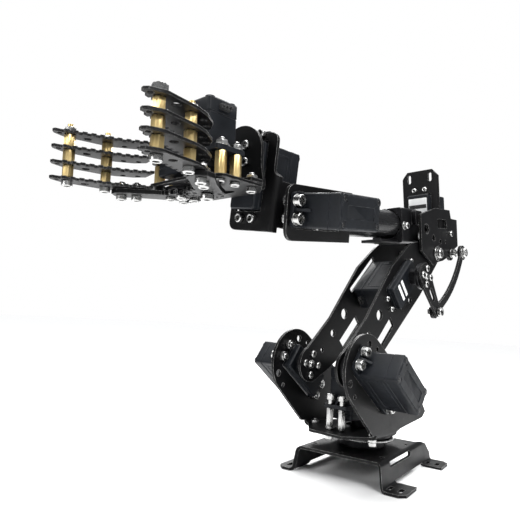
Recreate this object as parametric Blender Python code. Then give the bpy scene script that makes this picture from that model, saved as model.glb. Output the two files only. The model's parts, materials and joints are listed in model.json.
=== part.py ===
"""Desktop robot arm with seven driven axes, built from bent sheet brackets and standard servos.

World frame: origin on the floor under the base yaw axis, +X along the foot plate, +Z up.
All sizes are in millimetres and are turned into metres when a mesh is made.
"""

import math

import bmesh
import bpy
from mathutils import Matrix, Vector
from mathutils.geometry import delaunay_2d_cdt

MM = 0.001
GAP = 0.3                      # clearance between pieces that touch
SHEET = 2.0                    # thickness of the bent sheet brackets

# Standard servo: 40 x 20 case, shaft 10 from one end, flange under the case top.
SERVO_LONG = 40.0
SERVO_WIDE = 20.0
SERVO_SHAFT_INSET = 10.0
SERVO_FLANGE = 54.0
SERVO_FLANGE_THICK = 2.5
SERVO_BODY = 25.9              # case depth behind the flange
SERVO_TOP = 8.0                # case height in front of the flange
SPLINE_HIGH = 3.5
SPLINE_RADIUS = 3.0
SERVO_HOLE_X = (-14.75, 34.75)
SERVO_HOLE_Y = 5.0

# Chain dimensions.
BASE_TOP = 17.3
FOOT_FRONT = 46.0
FOOT_REAR = -62.0
FOOT_TIPS = (48.5, -44.5)      # outer edges of the feet, to the left and right of the yaw axis
RING_OUTER = 22.5
RING_BORE = 13.0
RING_SPLIT = 24.6              # top of the bearing's fixed race
DECK_LOW = 29.0                # underside of the turntable's floor
EAR_OUTER = 31.1
SHOULDER = (47.0, 75.7)        # shoulder axis, forward and up from the yaw axis
SHOULDER_SERVO_DROP = math.radians(37.0)
ARM_OUTER = 16.55
ARM_LENGTH = 159.7             # shoulder axis to elbow axis
ELBOW_SERVO = (9.5, 104.7)     # elbow servo shaft in the upper arm
ELBOW_SERVO_TILT = math.radians(5.4)
CRANK_PIN = (-25.7, 107.3)
LEVER_PIN = (-14.4, 185.2)
LINK_BULGE = 7.8
CRANK_FACE = 32.2
LINK_FACE = 29.0
ELBOW_OUTER = 20.4
TUBE_RISE = 25.2               # tube axis above the elbow axis
TUBE_RADIUS = 11.75
TUBE_END = 148.0
PITCH_AXIS = (197.7, 1.8)      # wrist pitch axis in the forearm
PITCH_FACE = 34.0              # outer face of the wrist bracket's side
ROLL_AXIS = (2.0, 27.2)        # wrist roll axis in the hand
GRIPPER_REACH = 60.5           # gripper servo axis forward of the wrist pitch axis
BACK_PLATE = 27.0 - 60.5      # rear face of the gripper back plate, on the roll horn
GRIPPER_DROP = 11.1            # gripper servo flange below the roll axis
GEAR_RADIUS = 10.0
GEAR_TEETH = 16
FINGER_LEVELS = (-14.75, -6.9, 0.95, 8.8)
FINGER_THICK = 1.5
FINGER_COLUMNS = {"rear": (32.0, 34.7), "front": (51.0, 37.9)}
FINGER_TEETH = 11

# Rest pose.
REST_YAW = math.radians(-9.2)
REST_SHOULDER = math.radians(-52.7)
REST_ELBOW = math.radians(60.5)
REST_FOREARM_ROLL = math.radians(-7.4)
REST_PITCH = math.radians(-5.2)
REST_WRIST_ROLL = math.radians(6.6)

PAINT = {
    "black_sheet": ((0.012, 0.012, 0.013), 0.42, 0.6),
    "servo_black": ((0.016, 0.017, 0.019), 0.45, 0.3),
    "horn_black": ((0.02, 0.02, 0.022), 0.35, 0.7),
    "steel": ((0.62, 0.62, 0.6), 0.25, 1.0),
    "brass": ((0.78, 0.55, 0.2), 0.28, 1.0),
    "tube_black": ((0.014, 0.014, 0.015), 0.3, 0.7),
}


# ---------------------------------------------------------------- outlines

def circle(x, y, radius, sides=16):
    """Points round a circle, started off the axes so that none lies on a plate's centre line."""
    angles = [math.tau * (k + 0.37) / sides for k in range(sides)]
    return [(x + radius * math.cos(a), y + radius * math.sin(a)) for a in angles]


def arc(x, y, radius, start, end, steps):
    """Points along an arc, angles in degrees."""
    angles = [math.radians(start + (end - start) * k / steps) for k in range(steps + 1)]
    return [(x + radius * math.cos(a), y + radius * math.sin(a)) for a in angles]


def rectangle(x0, y0, x1, y1):
    return [(x0, y0), (x1, y0), (x1, y1), (x0, y1)]


def slot(x, y, length, width, angle=0.0):
    """Round-ended slot centred on x, y."""
    reach = (length - width) / 2
    ends = arc(reach, 0, width / 2, -90, 90, 4) + arc(-reach, 0, width / 2, 90, 270, 4)
    c, s = math.cos(math.radians(angle)), math.sin(math.radians(angle))
    return [(x + c * a - s * b, y + s * a + c * b) for a, b in ends]


def softened(points, radius, closed=True, steps=2):
    """The same path with each corner replaced by an arc of the given radius."""
    result = []
    count = len(points)
    for k, point in enumerate(points):
        if not closed and k in (0, count - 1):
            result.append(point)
            continue
        corner = Vector(point)
        before = Vector(points[k - 1]) - corner
        after = Vector(points[(k + 1) % count]) - corner
        half = before.angle(after) / 2
        reach = min(radius / math.tan(half), before.length * 0.45, after.length * 0.45)
        bend = reach * math.tan(half)
        before.normalize()
        after.normalize()
        middle = corner + (before + after).normalized() * (bend / math.sin(half))
        first = corner + before * reach - middle
        last = corner + after * reach - middle
        turn = first.angle_signed(last)
        for step in range(steps + 1):
            angle = -turn * step / steps
            c, s = math.cos(angle), math.sin(angle)
            result.append((middle.x + c * first.x - s * first.y, middle.y + s * first.x + c * first.y))
    return result


def strip(path, thickness):
    """Closed outline of a sheet of this thickness whose middle follows an open path."""
    sides = ([], [])
    for k, point in enumerate(path):
        here = Vector(point)
        directions = []
        if k > 0:
            directions.append((here - Vector(path[k - 1])).normalized())
        if k < len(path) - 1:
            directions.append((Vector(path[k + 1]) - here).normalized())
        along = sum(directions, Vector((0, 0))).normalized()
        across = Vector((-along.y, along.x))
        width = thickness / 2 / max(0.3, along.dot(directions[0]))
        sides[0].append(tuple(here + across * width))
        sides[1].append(tuple(here - across * width))
    return sides[0] + sides[1][::-1]


def mirrored(points):
    """Adds the mirror image of the points about the first axis, walking back along it."""
    return list(points) + [(x, -y) for x, y in reversed(points)]


# ---------------------------------------------------------------- solids

FACES_WITH_HOLES = 5           # fill mode: faces inside an outline, open inside its holes

AXES = {
    "X": Matrix(((0, 0, 1), (1, 0, 0), (0, 1, 0))),
    "Y": Matrix(((1, 0, 0), (0, 0, 1), (0, 1, 0))),
    "Z": Matrix.Identity(3),
}


def cleaned(mesh):
    work = bmesh.new()
    work.from_mesh(mesh)
    bmesh.ops.remove_doubles(work, verts=work.verts, dist=1e-6)
    bmesh.ops.recalc_face_normals(work, faces=work.faces)
    work.to_mesh(mesh)
    work.free()
    return mesh


def anticlockwise(points):
    doubled = sum(a[0] * b[1] - b[0] * a[1] for a, b in zip(points, points[1:] + points[:1]))
    return points if doubled > 0 else points[::-1]


def prism(outline, low, high, axis="Z", holes=()):
    """Outline and holes extruded from low to high along an axis; the outline uses the other two."""
    corners, rings = [], []
    for ring in (anticlockwise(outline), *(anticlockwise(hole) for hole in holes)):
        rings.append(list(range(len(corners), len(corners) + len(ring))))
        corners += [Vector(point) for point in ring]
    filled, _, caps, *_ = delaunay_2d_cdt(corners, [], rings, FACES_WITH_HOLES, 1e-5)
    work = bmesh.new()
    verts = [work.verts.new((x * MM, y * MM, low * MM)) for x, y in filled]
    faces = [work.faces.new([verts[k] for k in cap]) for cap in caps]
    grown = bmesh.ops.extrude_face_region(work, geom=faces, use_keep_orig=True)["geom"]
    lifted = [item for item in grown if isinstance(item, bmesh.types.BMVert)]
    bmesh.ops.translate(work, verts=lifted, vec=(0, 0, (high - low) * MM))
    mesh = bpy.data.meshes.new("prism")
    work.to_mesh(mesh)
    work.free()
    mesh.transform(AXES[axis].to_4x4())
    return cleaned(mesh)


def turned(profile, sides=24, axis="Z"):
    """Solid of revolution about an axis, from (radius, height) points ending on the axis or closed."""
    work = bmesh.new()
    verts = [work.verts.new((radius * MM, 0, height * MM)) for radius, height in profile]
    edges = [work.edges.new(pair) for pair in zip(verts, verts[1:])]
    if profile[0][0] > 0 or profile[-1][0] > 0:
        edges.append(work.edges.new((verts[-1], verts[0])))
    bmesh.ops.spin(work, geom=verts + edges, cent=(0, 0, 0), axis=(0, 0, 1), angle=math.tau,
                   steps=sides, use_merge=True)
    mesh = bpy.data.meshes.new("turned")
    work.to_mesh(mesh)
    work.free()
    turn = {"X": Matrix.Rotation(math.pi / 2, 4, "Y"), "Y": Matrix.Rotation(-math.pi / 2, 4, "X"),
            "Z": Matrix.Identity(4)}
    mesh.transform(turn[axis])
    return cleaned(mesh)


def moved(mesh, x=0.0, y=0.0, z=0.0):
    mesh.transform(Matrix.Translation((x * MM, y * MM, z * MM)))
    return mesh


def combine(mesh, tools, operation):
    """Boolean of the mesh with each tool mesh in turn."""
    for tool in tools:
        body = bpy.data.objects.new("body", mesh)
        other = bpy.data.objects.new("tool", tool)
        for item in (body, other):
            bpy.context.scene.collection.objects.link(item)
        step = body.modifiers.new("step", "BOOLEAN")
        step.operation = operation
        step.solver = "EXACT"
        step.object = other
        bpy.context.view_layer.update()
        result = bpy.data.meshes.new_from_object(body.evaluated_get(bpy.context.evaluated_depsgraph_get()))
        bpy.data.objects.remove(body)
        bpy.data.objects.remove(other)
        mesh = result
    return cleaned(mesh)


def cut(mesh, *tools):
    return combine(mesh, tools, "DIFFERENCE")


def joined(mesh, *tools):
    return combine(mesh, tools, "UNION")


def outside(outline, low, high, axis):
    """Everything around an outline, as a cutter."""
    return prism(rectangle(-400, -400, 400, 400), low, high, axis, [outline])


def place_of(origin, shaft, along):
    """Matrix that puts a servo's local shaft direction (+Z) and long direction (+X) in its parent."""
    z = Vector(shaft).normalized()
    x = Vector(along).normalized()
    y = z.cross(x)
    turn = Matrix((x, y, z)).transposed().to_4x4()
    return Matrix.Translation(Vector(origin) * MM) @ turn


# ---------------------------------------------------------------- scene pieces

def make_materials():
    made = {}
    for name, (colour, roughness, metallic) in PAINT.items():
        material = bpy.data.materials.new(name)
        material.use_nodes = True
        shader = material.node_tree.nodes["Principled BSDF"]
        shader.inputs["Base Color"].default_value = (*colour, 1)
        shader.inputs["Roughness"].default_value = roughness
        shader.inputs["Metallic"].default_value = metallic
        made[name] = material
    return made


def frame(name, parent, x=0.0, y=0.0, z=0.0, about="Z", angle=0.0):
    """Empty that stands on a joint's axis."""
    empty = bpy.data.objects.new(name, None)
    bpy.context.scene.collection.objects.link(empty)
    empty.empty_display_size = 0.01
    empty.parent = parent
    empty.location = (x * MM, y * MM, z * MM)
    setattr(empty.rotation_euler, about.lower(), angle)
    return empty


def part(name, mesh, parent, material, place=None):
    """Named sub-part with its own material, in its parent's frame."""
    item = bpy.data.objects.new(name, mesh)
    bpy.context.scene.collection.objects.link(item)
    item.parent = parent
    if place is not None:
        item.matrix_local = place
    if not mesh.materials:
        mesh.materials.append(MATERIALS[material])
        mesh.shade_smooth()
        mesh.set_sharp_from_angle(angle=math.radians(35))
    return item


# ---------------------------------------------------------------- servo and horns

def servo_mesh():
    """Servo with its mounting face at z = 0, shaft up along +Z and case along +X."""
    near, far = -SERVO_SHAFT_INSET, SERVO_LONG - SERVO_SHAFT_INSET
    half = SERVO_WIDE / 2
    middle = (near + far) / 2
    case = prism(softened(rectangle(near, -half, far, half), 1.2, steps=1),
                 -SERVO_FLANGE_THICK - SERVO_BODY, SERVO_TOP)
    reach = SERVO_FLANGE / 2
    holes = [circle(x, side * SERVO_HOLE_Y, 2.1, 6) for x in SERVO_HOLE_X for side in (-1, 1)]
    flange = prism(softened(rectangle(middle - reach, -half + 0.2, middle + reach, half - 0.2), 1.5, steps=1),
                   -SERVO_FLANGE_THICK, 0, "Z", holes)
    boss = turned([(0, SERVO_TOP - 2), (6, SERVO_TOP - 2), (6, SERVO_TOP + 0.2),
                   (SPLINE_RADIUS, SERVO_TOP + 0.2), (SPLINE_RADIUS, SERVO_TOP + SPLINE_HIGH),
                   (0, SERVO_TOP + SPLINE_HIGH)], 12)
    return joined(case, flange, boss)


def servo_window(place_x, place_y, angle):
    """Outline of the hole that a servo's case top sits in, in a plate's two axes."""
    near, far = -SERVO_SHAFT_INSET - 0.5, SERVO_LONG - SERVO_SHAFT_INSET + 0.5
    half = SERVO_WIDE / 2 + 0.5
    c, s = math.cos(angle), math.sin(angle)
    corners = rectangle(near, -half, far, half)
    return [(place_x + c * a - s * b, place_y + s * a + c * b) for a, b in corners]


def servo_bolt_holes(place_x, place_y, angle, radius=2.1, sides=6):
    c, s = math.cos(angle), math.sin(angle)
    spots = [(a, side * SERVO_HOLE_Y) for a in SERVO_HOLE_X for side in (-1, 1)]
    return [circle(place_x + c * a - s * b, place_y + s * a + c * b, radius, sides) for a, b in spots]


def horn_mesh(length, disc_radius=10.0, disc_thick=2.4, hub_radius=5.5):
    """Round horn over the spline: it starts just above the case top and its disc is at the far end."""
    bore = SPLINE_RADIUS + GAP
    if length < SPLINE_HIGH:
        return turned([(bore, 0), (hub_radius, 0), (hub_radius, length - disc_thick),
                       (disc_radius, length - disc_thick), (disc_radius, length), (bore, length)], 20)
    depth = SPLINE_HIGH
    return turned([(0, depth), (bore, depth), (bore, 0), (hub_radius, 0), (hub_radius, length - disc_thick),
                   (disc_radius, length - disc_thick), (disc_radius, length), (0, length)], 20)


# ---------------------------------------------------------------- base and turntable

def base_bracket():
    top, foot, half = BASE_TOP - SHEET / 2, SHEET / 2, 30.5
    left, right = FOOT_TIPS
    path = softened([(right, foot), (right + 12, foot), (-half, top), (half, top), (left - 15.5, foot),
                     (left, foot)], 2.5, closed=False)
    shape = prism(strip(path, SHEET), -70, 60, "X")
    plan = [(FOOT_FRONT, 50), (FOOT_FRONT, 35), (41, 29), (41, -29), (FOOT_FRONT, -35), (FOOT_FRONT, -50),
            (FOOT_REAR, -50), (FOOT_REAR, -33), (-50, -31), (-41, -28), (-41, 28), (-50, 31), (FOOT_REAR, 33),
            (FOOT_REAR, 50)]
    feet = [(x, tip) for x in (FOOT_REAR, FOOT_FRONT) for tip in FOOT_TIPS]
    corners = [prism([(x + math.copysign(1, x), y + math.copysign(1, y)),
                      (x - math.copysign(5, x), y + math.copysign(1, y)),
                      (x + math.copysign(1, x), y - math.copysign(5, y))], -1, 4) for x, y in feet]
    arch = prism([(-42, -2), (23, -2), (20.5, 2.8), (-39.5, 2.8)], -60, 60, "Y")
    reliefs = [prism(slot(5, 13.9, 43, 3.6), *sorted((side * 28.4, side * 60)), "Y") for side in (-1, 1)]
    through = [slot(x, y, 9, 3.4) for x in (-48, 36.5) for y in (right + 5.5, left - 5.5)]
    through += [slot(x, y, 9, 2.6) for x in (-48, 36.5) for y in (right + 9.6, left - 12.6)]
    through += [circle(0, 0, 5, 15)]
    through += [circle(*spot, 1.7, 6) for spot in
                ((25.5, 25.5), (-25.5, 25.5), (25.5, -25.5), (-25.5, -25.5), (36, 0), (-36, 0))]
    drills = [prism(points, -5, 40) for points in through]
    return cut(shape, outside(plan, -5, 40, "Z"), *corners, arch, *reliefs, *drills)


def bearing_fixed_race():
    low, high = BASE_TOP + GAP, RING_SPLIT
    neck = RING_OUTER - 4.5
    return turned([(RING_BORE, low), (neck, low), (neck, high - 2.2), (RING_OUTER, high - 1.8),
                   (RING_OUTER, high), (RING_BORE, high)], 24)


def bearing_turning_race():
    low, high, side = RING_SPLIT + GAP, DECK_LOW - GAP, RING_OUTER - 1.5
    return turned([(RING_BORE, low), (side, low), (side, high), (RING_BORE, high)], 24)


def yaw_hub():
    """Hub on the foot plate that the yaw servo's spline grips, up through the bearing."""
    low, high = BASE_TOP + GAP, DECK_LOW + 8.7
    bore = SPLINE_RADIUS + GAP
    return turned([(0, low), (12, low), (12, low + 3), (8.5, low + 5), (8.5, high), (bore, high),
                   (bore, high - SPLINE_HIGH - 0.2), (0, high - SPLINE_HIGH - 0.2)], 16)


def turntable_bracket():
    """Floor plate with two ears bent up; each ear ends in a disc about the shoulder axis."""
    sx, sz = SHOULDER
    wall = EAR_OUTER - SHEET / 2
    floor = DECK_LOW + SHEET / 2
    path = softened([(-wall, 104), (-wall, floor), (wall, floor), (wall, 104)], 3, closed=False)
    shape = prism(strip(path, SHEET), -45, 74, "X")
    ear = [(-35, 38.8), (4, 33.5), (4, 26), (31.2, 26), (35.2, 32.2), (54.9, 49.8)]
    ear += arc(sx, sz, 24.5, -42, 123.4, 14)
    ear += [(-22, 58), (-36, 48), (-40, 43)]
    plan = mirrored([(-32, 10), (-24, 19), (4, 27), (4, 45), (31.2, 45), (31.2, 26.8), (47, 14)][::-1])
    servo_angle = math.pi + SHOULDER_SERVO_DROP
    openings = [servo_window(sx, sz, servo_angle), *servo_bolt_holes(sx, sz, servo_angle)]
    openings += [circle(x, z, r, 10) for x, z, r in
                 ((44.1, 93.2, 2.4), (34.1, 90, 1.6), (65.5, 68.5, 2.4), (60, 60, 1.6))]
    floor_holes = [circle(0, 0, 12, 24)]
    floor_holes += [circle(26, y, 1.7, 6) for y in (-24.5, 24.5)]
    floor_holes += [slot(-26, y, 9, 3, 90) for y in (-10, 10)]
    tools = [outside(ear, 26.4, 40, "Y"), outside(ear, -40, -26.4, "Y"), outside(plan, 20, 33, "Z")]
    tools += [prism(points, -60, 60, "Y") for points in openings]
    tools += [prism(points, 20, 40) for points in floor_holes]
    return cut(shape, *tools)


def yaw_servo_mesh():
    """Yaw servo joined to the four hexagonal posts that hold it above the turntable's floor."""
    posts = []
    height = 46.0 - (DECK_LOW + SHEET) - GAP
    for x in SERVO_HOLE_X:
        for side in (-1, 1):
            post = turned([(0, height), (3.1, height), (3.1, -1.0), (2.5, -SERVO_FLANGE_THICK - 3),
                           (0, -SERVO_FLANGE_THICK - 3)], 6)
            posts.append(moved(post, x, side * SERVO_HOLE_Y, 0))
    return joined(servo_mesh(), *posts)


def build_base():
    root = frame("base", None)
    part("base_bracket", base_bracket(), root, "black_sheet")
    part("yaw_bearing_lower_ring", bearing_fixed_race(), root, "steel")
    part("yaw_hub", yaw_hub(), root, "horn_black")
    turntable = frame("turntable", root, about="Z", angle=REST_YAW)
    part("yaw_bearing_upper_ring", bearing_turning_race(), turntable, "horn_black")
    part("turntable_bracket", turntable_bracket(), turntable, "black_sheet")
    part("yaw_servo", yaw_servo_mesh(), turntable, "servo_black",
         place_of((0, 0, 46), (0, 0, -1), (1, 0, 0)))
    sx, sz = SHOULDER
    along = (-math.cos(SHOULDER_SERVO_DROP), 0, -math.sin(SHOULDER_SERVO_DROP))
    for side, name in ((1, "left"), (-1, "right")):
        part(f"shoulder_servo_{name}", SERVO, turntable, "servo_black",
             place_of((sx, side * (EAR_OUTER + GAP), sz), (0, -side, 0), along))
    return turntable


# ---------------------------------------------------------------- upper arm

def arm_outline():
    shape = arc(0, 0, 12.5, 16, -172, 12)
    shape += [(-16, 16), (-19.4, 46), (-17, 118)]
    shape += arc(0, ARM_LENGTH, 12, 176, 24, 10)
    shape += [(26.8, 130), (27.2, 122), (27, 92), (18.8, 56), (14.6, 38)]
    return shape


def arm_openings():
    """Openings that both side plates have: lightening holes, a slanted slot and the bolt holes."""
    found = [circle(0.4, 16, 1.8, 10), circle(2.9, 33.9, 2.7, 12), circle(6.4, 54.6, 4, 16)]
    found += [[(-3.9, 66.8), (-12.2, 67.6), (-15.3, 39.4), (-7.2, 37.9)]]
    found += [circle(0, 0, 3.4, 12), circle(0, ARM_LENGTH, 2.4, 12), circle(-10.5, 100.8, 2.4, 12)]
    found += [circle(7.5 * math.cos(a), 7.5 * math.sin(a), 1.5, 6)
              for a in (math.radians(45 + 90 * k) for k in range(4))]
    return found


def arm_plate(side):
    """Side plate of the upper arm; the left one also holds the elbow servo."""
    outer = side * ARM_OUTER
    inner = side * (ARM_OUTER - SHEET)
    low, high = sorted((outer, inner))
    openings = arm_openings()
    if side > 0:
        x, z = ELBOW_SERVO
        angle = -math.pi / 2 - ELBOW_SERVO_TILT
        openings += [servo_window(x, z, angle), *servo_bolt_holes(x, z, angle)]
    else:
        x, z = ELBOW_SERVO
        c, s = math.cos(ELBOW_SERVO_TILT), math.sin(ELBOW_SERVO_TILT)
        slit = softened(rectangle(-13, 8, 31.6, 12.2), 1, steps=1)
        openings.append([(x - a * s + b * c, z - a * c - b * s) for a, b in slit])
    return prism(arm_outline(), low, high, "Y", openings)


def crank_plate():
    dx, dz = CRANK_PIN[0] - ELBOW_SERVO[0], CRANK_PIN[1] - ELBOW_SERVO[1]
    length = math.hypot(dx, dz)
    shape = softened([(-8, -8.5), (3, -8.5), (length - 4, -5), (length + 1, -5), (length + 5, 0),
                      (length + 1, 5), (length - 4, 5), (3, 8.5), (-8, 8.5), (-10.5, 0)], 3, steps=2)
    angle = math.atan2(dz, dx)
    c, s = math.cos(angle), math.sin(angle)
    holes = [circle(0, 0, 2, 10), circle(length, 0, 2.3, 12), slot(18, 0, 12, 4.4)]
    holes += [circle(6.2 * math.cos(a), 6.2 * math.sin(a), 1.2, 6) for a in (0.8, 2.4, 3.9, 5.5)]
    placed = [[(c * a - s * b, s * a + c * b) for a, b in points] for points in (shape, *holes)]
    return prism(placed[0], CRANK_FACE, CRANK_FACE + SHEET, "Y", placed[1:])


def crank_pin():
    """Bolt through crank and link: head outside the crank, nut inside the link."""
    low, high = LINK_FACE - GAP, CRANK_FACE + SHEET + GAP
    return turned([(0, low - 3), (3.6, low - 3), (3.6, low), (2, low), (2, high), (3.6, high),
                   (3.6, high + 3), (0, high + 3)], 12, "Y")


def elbow_link():
    """Curved flat link with a round eye at each end, from the crank pin to the lever pin."""
    end = Vector((LEVER_PIN[0] - CRANK_PIN[0], LEVER_PIN[1] - CRANK_PIN[1]))
    across = Vector((-end.y, end.x)).normalized() * LINK_BULGE
    path = []
    for k in range(11):
        t = 0.01 + 0.98 * k / 10
        path.append(tuple(end * t + across * 4 * t * (1 - t)))
    bar = prism(strip(path, 6.4), LINK_FACE + 0.3, LINK_FACE + 2.3, "Y")
    eyes = [prism(circle(x, z, radius, 20), LINK_FACE, LINK_FACE + 2.6, "Y")
            for x, z, radius in ((0, 0, 5.4), (end.x, end.y, 6.6))]
    drills = [prism(circle(x, z, radius, 16), LINK_FACE - 3, LINK_FACE + 6, "Y")
              for x, z, radius in ((0, 0, 2.3), (end.x, end.y, 3.5))]
    return cut(joined(bar, *eyes), *drills)


def build_upper_arm(turntable):
    sx, sz = SHOULDER
    arm = frame("upper_arm", turntable, sx, 0, sz, "Y", REST_SHOULDER)
    horn = horn_mesh(6.25)
    start = EAR_OUTER + GAP - SERVO_TOP - GAP
    for side, name in ((1, "left"), (-1, "right")):
        part(f"shoulder_horn_{name}", horn, arm, "horn_black",
             place_of((0, side * start, 0), (0, -side, 0), (0, 0, 1)))
        part(f"upper_arm_plate_{name}", arm_plate(side), arm, "black_sheet")
    x, z = ELBOW_SERVO
    face = ARM_OUTER - SHEET - GAP
    tilt = ELBOW_SERVO_TILT
    part("elbow_servo", SERVO, arm, "servo_black",
         place_of((x, face, z), (0, 1, 0), (-math.sin(tilt), 0, -math.cos(tilt))))
    for side, name in ((1, "left"), (-1, "right")):
        bolt = turned([(0, 10.6), (3.9, 10.6), (3.9, 14.2), (2, 14.2), (2, 16.9), (5, 16.9), (5, 18.1),
                       (2, 18.1), (2, 20.7), (6.6, 20.7), (6.6, 21.7), (4.4, 21.7), (4.4, 25), (0, 25)],
                      12, "Y")
        if side < 0:
            bolt.transform(Matrix.Rotation(math.pi, 4, "Z"))
        part(f"elbow_pivot_bolt_{name}", bolt, arm, "steel", Matrix.Translation((0, 0, ARM_LENGTH * MM)))
    crank = frame("crank", arm, x, 0, z)
    top = face + SERVO_TOP + GAP
    part("elbow_horn", horn_mesh(CRANK_FACE - GAP - top, 10.2, 2.6, 6.5), crank, "horn_black",
         place_of((0, top, 0), (0, 1, 0), (0, 0, 1)))
    part("elbow_crank", crank_plate(), crank, "black_sheet")
    pin_x, pin_z = CRANK_PIN[0] - x, CRANK_PIN[1] - z
    part("elbow_crank_pin", crank_pin(), crank, "steel", Matrix.Translation((pin_x * MM, 0, pin_z * MM)))
    link = frame("link", crank, pin_x, 0, pin_z)
    part("elbow_link", elbow_link(), link, "black_sheet")
    return arm


# ---------------------------------------------------------------- elbow and forearm

def elbow_bracket():
    """Two side plates joined by a rear web; the elbow axis is at the origin."""
    wall = ELBOW_OUTER - SHEET / 2
    path = softened([(40, -wall), (-48.2, -wall), (-48.2, wall), (40, wall)], 2.5, closed=False)
    shape = prism(strip(path, SHEET), -20, 45, "Z")
    outline = [(8, -10.5), (28.5, 2.2), (28, 33), (-1, 40), (-31, 40), (-33.2, 32.3), (-52, 31.5), (-52, 9),
               (-39.4, 4.5)]
    outline += arc(-29.3, 0, 6.5, 200, 330, 6)
    outline += [(-12, -6.5), (1, -8)]
    holes = [circle(0, 0, 2.4, 12), circle(18.3, 20.8, 4.5, 16), circle(5.2, 13.3, 2.8, 12),
             circle(-8.5, 10.4, 2.2, 12), circle(-18.6, 10.5, 1.7, 6), circle(-29.3, 0, 1.7, 6),
             circle(-28, 18, 1.7, 6)]
    holes += [softened([(-4.5, 22.5), (-3.5, 30.5), (-22, 30.5), (-24, 22.5)], 1.5, steps=2)]
    web = softened([(-15, 12), (15, 12), (15, 26), (-15, 26)], 2, steps=2)
    tools = [outside(outline, -40, 40, "Y")]
    tools += [prism(points, -40, 40, "Y") for points in holes]
    tools += [prism(web, -60, -40, "X")]
    return cut(shape, *tools)


def roll_mount_plate():
    """Upright plate that the forearm roll servo hangs on, with two bolt tabs bent back."""
    wall = 17.1
    path = softened([(-33, -wall), (-16, -wall), (-16, wall), (-33, wall)], 2, closed=False)
    shape = prism(strip(path, SHEET), 9, 78, "Z")
    tabs = [prism(rectangle(-40, 36, -17.2, 90), side * 17 - 3, side * 17 + 3, "Y") for side in (-1, 1)]
    trims = [prism([(side * 25, 90), (side * 11, 90), (side * 11, 79), (side * 17.6, 71.5), (side * 17.6, 36),
                    (side * 25, 36)], -30, 0, "X") for side in (-1, 1)]
    hole = servo_window(0, TUBE_RISE, math.pi / 2)
    drills = [prism(points, -30, 0, "X") for points in
              (hole, *servo_bolt_holes(0, TUBE_RISE, math.pi / 2))]
    drills += [prism(slot(side * 10, 71, 8, 3, 90), -30, 0, "X") for side in (-1, 1)]
    drills.append(prism(circle(-28, 18, 1.7, 6), -30, 30, "Y"))
    return cut(shape, *tabs, *trims, *drills)


def bearing_block():
    """Block that the forearm tube turns in, with bosses to the side plates and a lip under the tube."""
    rise = TUBE_RISE
    body = prism(softened(rectangle(-14, 9.2, 14, rise + 13), 2.5, steps=2), 21, 49, "X")
    bosses = [prism(softened(rectangle(21.4, 24.4, 32.5, 36), 1, steps=1), *sorted((side * 12.5, side * 18.1)), "Y")
              for side in (-1, 1)]
    lip = prism(softened([(-9, 9.4), (9, 9.4), (9, 11.8), (-9, 11.8)], 0.4, steps=1), 47, 75, "X")
    bore = prism(circle(0, rise, TUBE_RADIUS + 0.4, 32), 10, 60, "X")
    split = prism(rectangle(-0.8, rise + 5, 0.8, rise + 20), 10, 60, "X")
    return cut(joined(body, *bosses, lip), bore, split)


def forearm_tube():
    wall = 1.6
    return turned([(TUBE_RADIUS, 1.8), (TUBE_RADIUS, TUBE_END), (TUBE_RADIUS - wall, TUBE_END),
                   (TUBE_RADIUS - wall, 1.8)], 28, "X")


def tube_coupler(face, depth):
    """Flanged plug in a tube end; depth may run backwards."""
    plug = TUBE_RADIUS - 1.6 - GAP
    step = math.copysign(1, depth)
    flange = TUBE_RADIUS
    return turned([(0, face), (flange, face), (flange, face + step * 3.2), (plug, face + step * 3.2),
                   (plug, face + depth), (0, face + depth)], 16, "X")


def wrist_bracket():
    """Rear plate across the tube's end and a side plate that holds the wrist pitch servo."""
    px, pz = PITCH_AXIS
    side = PITCH_FACE - SHEET / 2
    path = softened([(153, -15), (153, side), (217, side)], 3, closed=False)
    shape = prism(strip(path, SHEET), -19, 19, "Z")
    face = softened([(140, -15.5), (217, -15.5), (217, 16), (140, 16)], 6, steps=2)
    rear = softened([(-15, -15.5), (40, -15.5), (40, 16), (-15, 16)], 6, steps=2)
    rib = prism(rectangle(161, 29, 207, 33.6), -15.4, -13.6)
    tools = [outside(face, 25, 40, "Y"), outside(rear, 140, 157, "X")]
    tools += [prism(points, 25, 40, "Y") for points in
              (servo_window(px, pz, math.pi), *servo_bolt_holes(px, pz, math.pi))]
    tools += [prism(circle(y, z, 1.5, 6), 140, 160, "X") for y, z in ((7, 7), (-7, 7), (7, -7), (-7, -7))]
    tools += [prism(circle(0, 0, 3, 12), 140, 160, "X")]
    return cut(joined(shape, rib), *tools)


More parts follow.
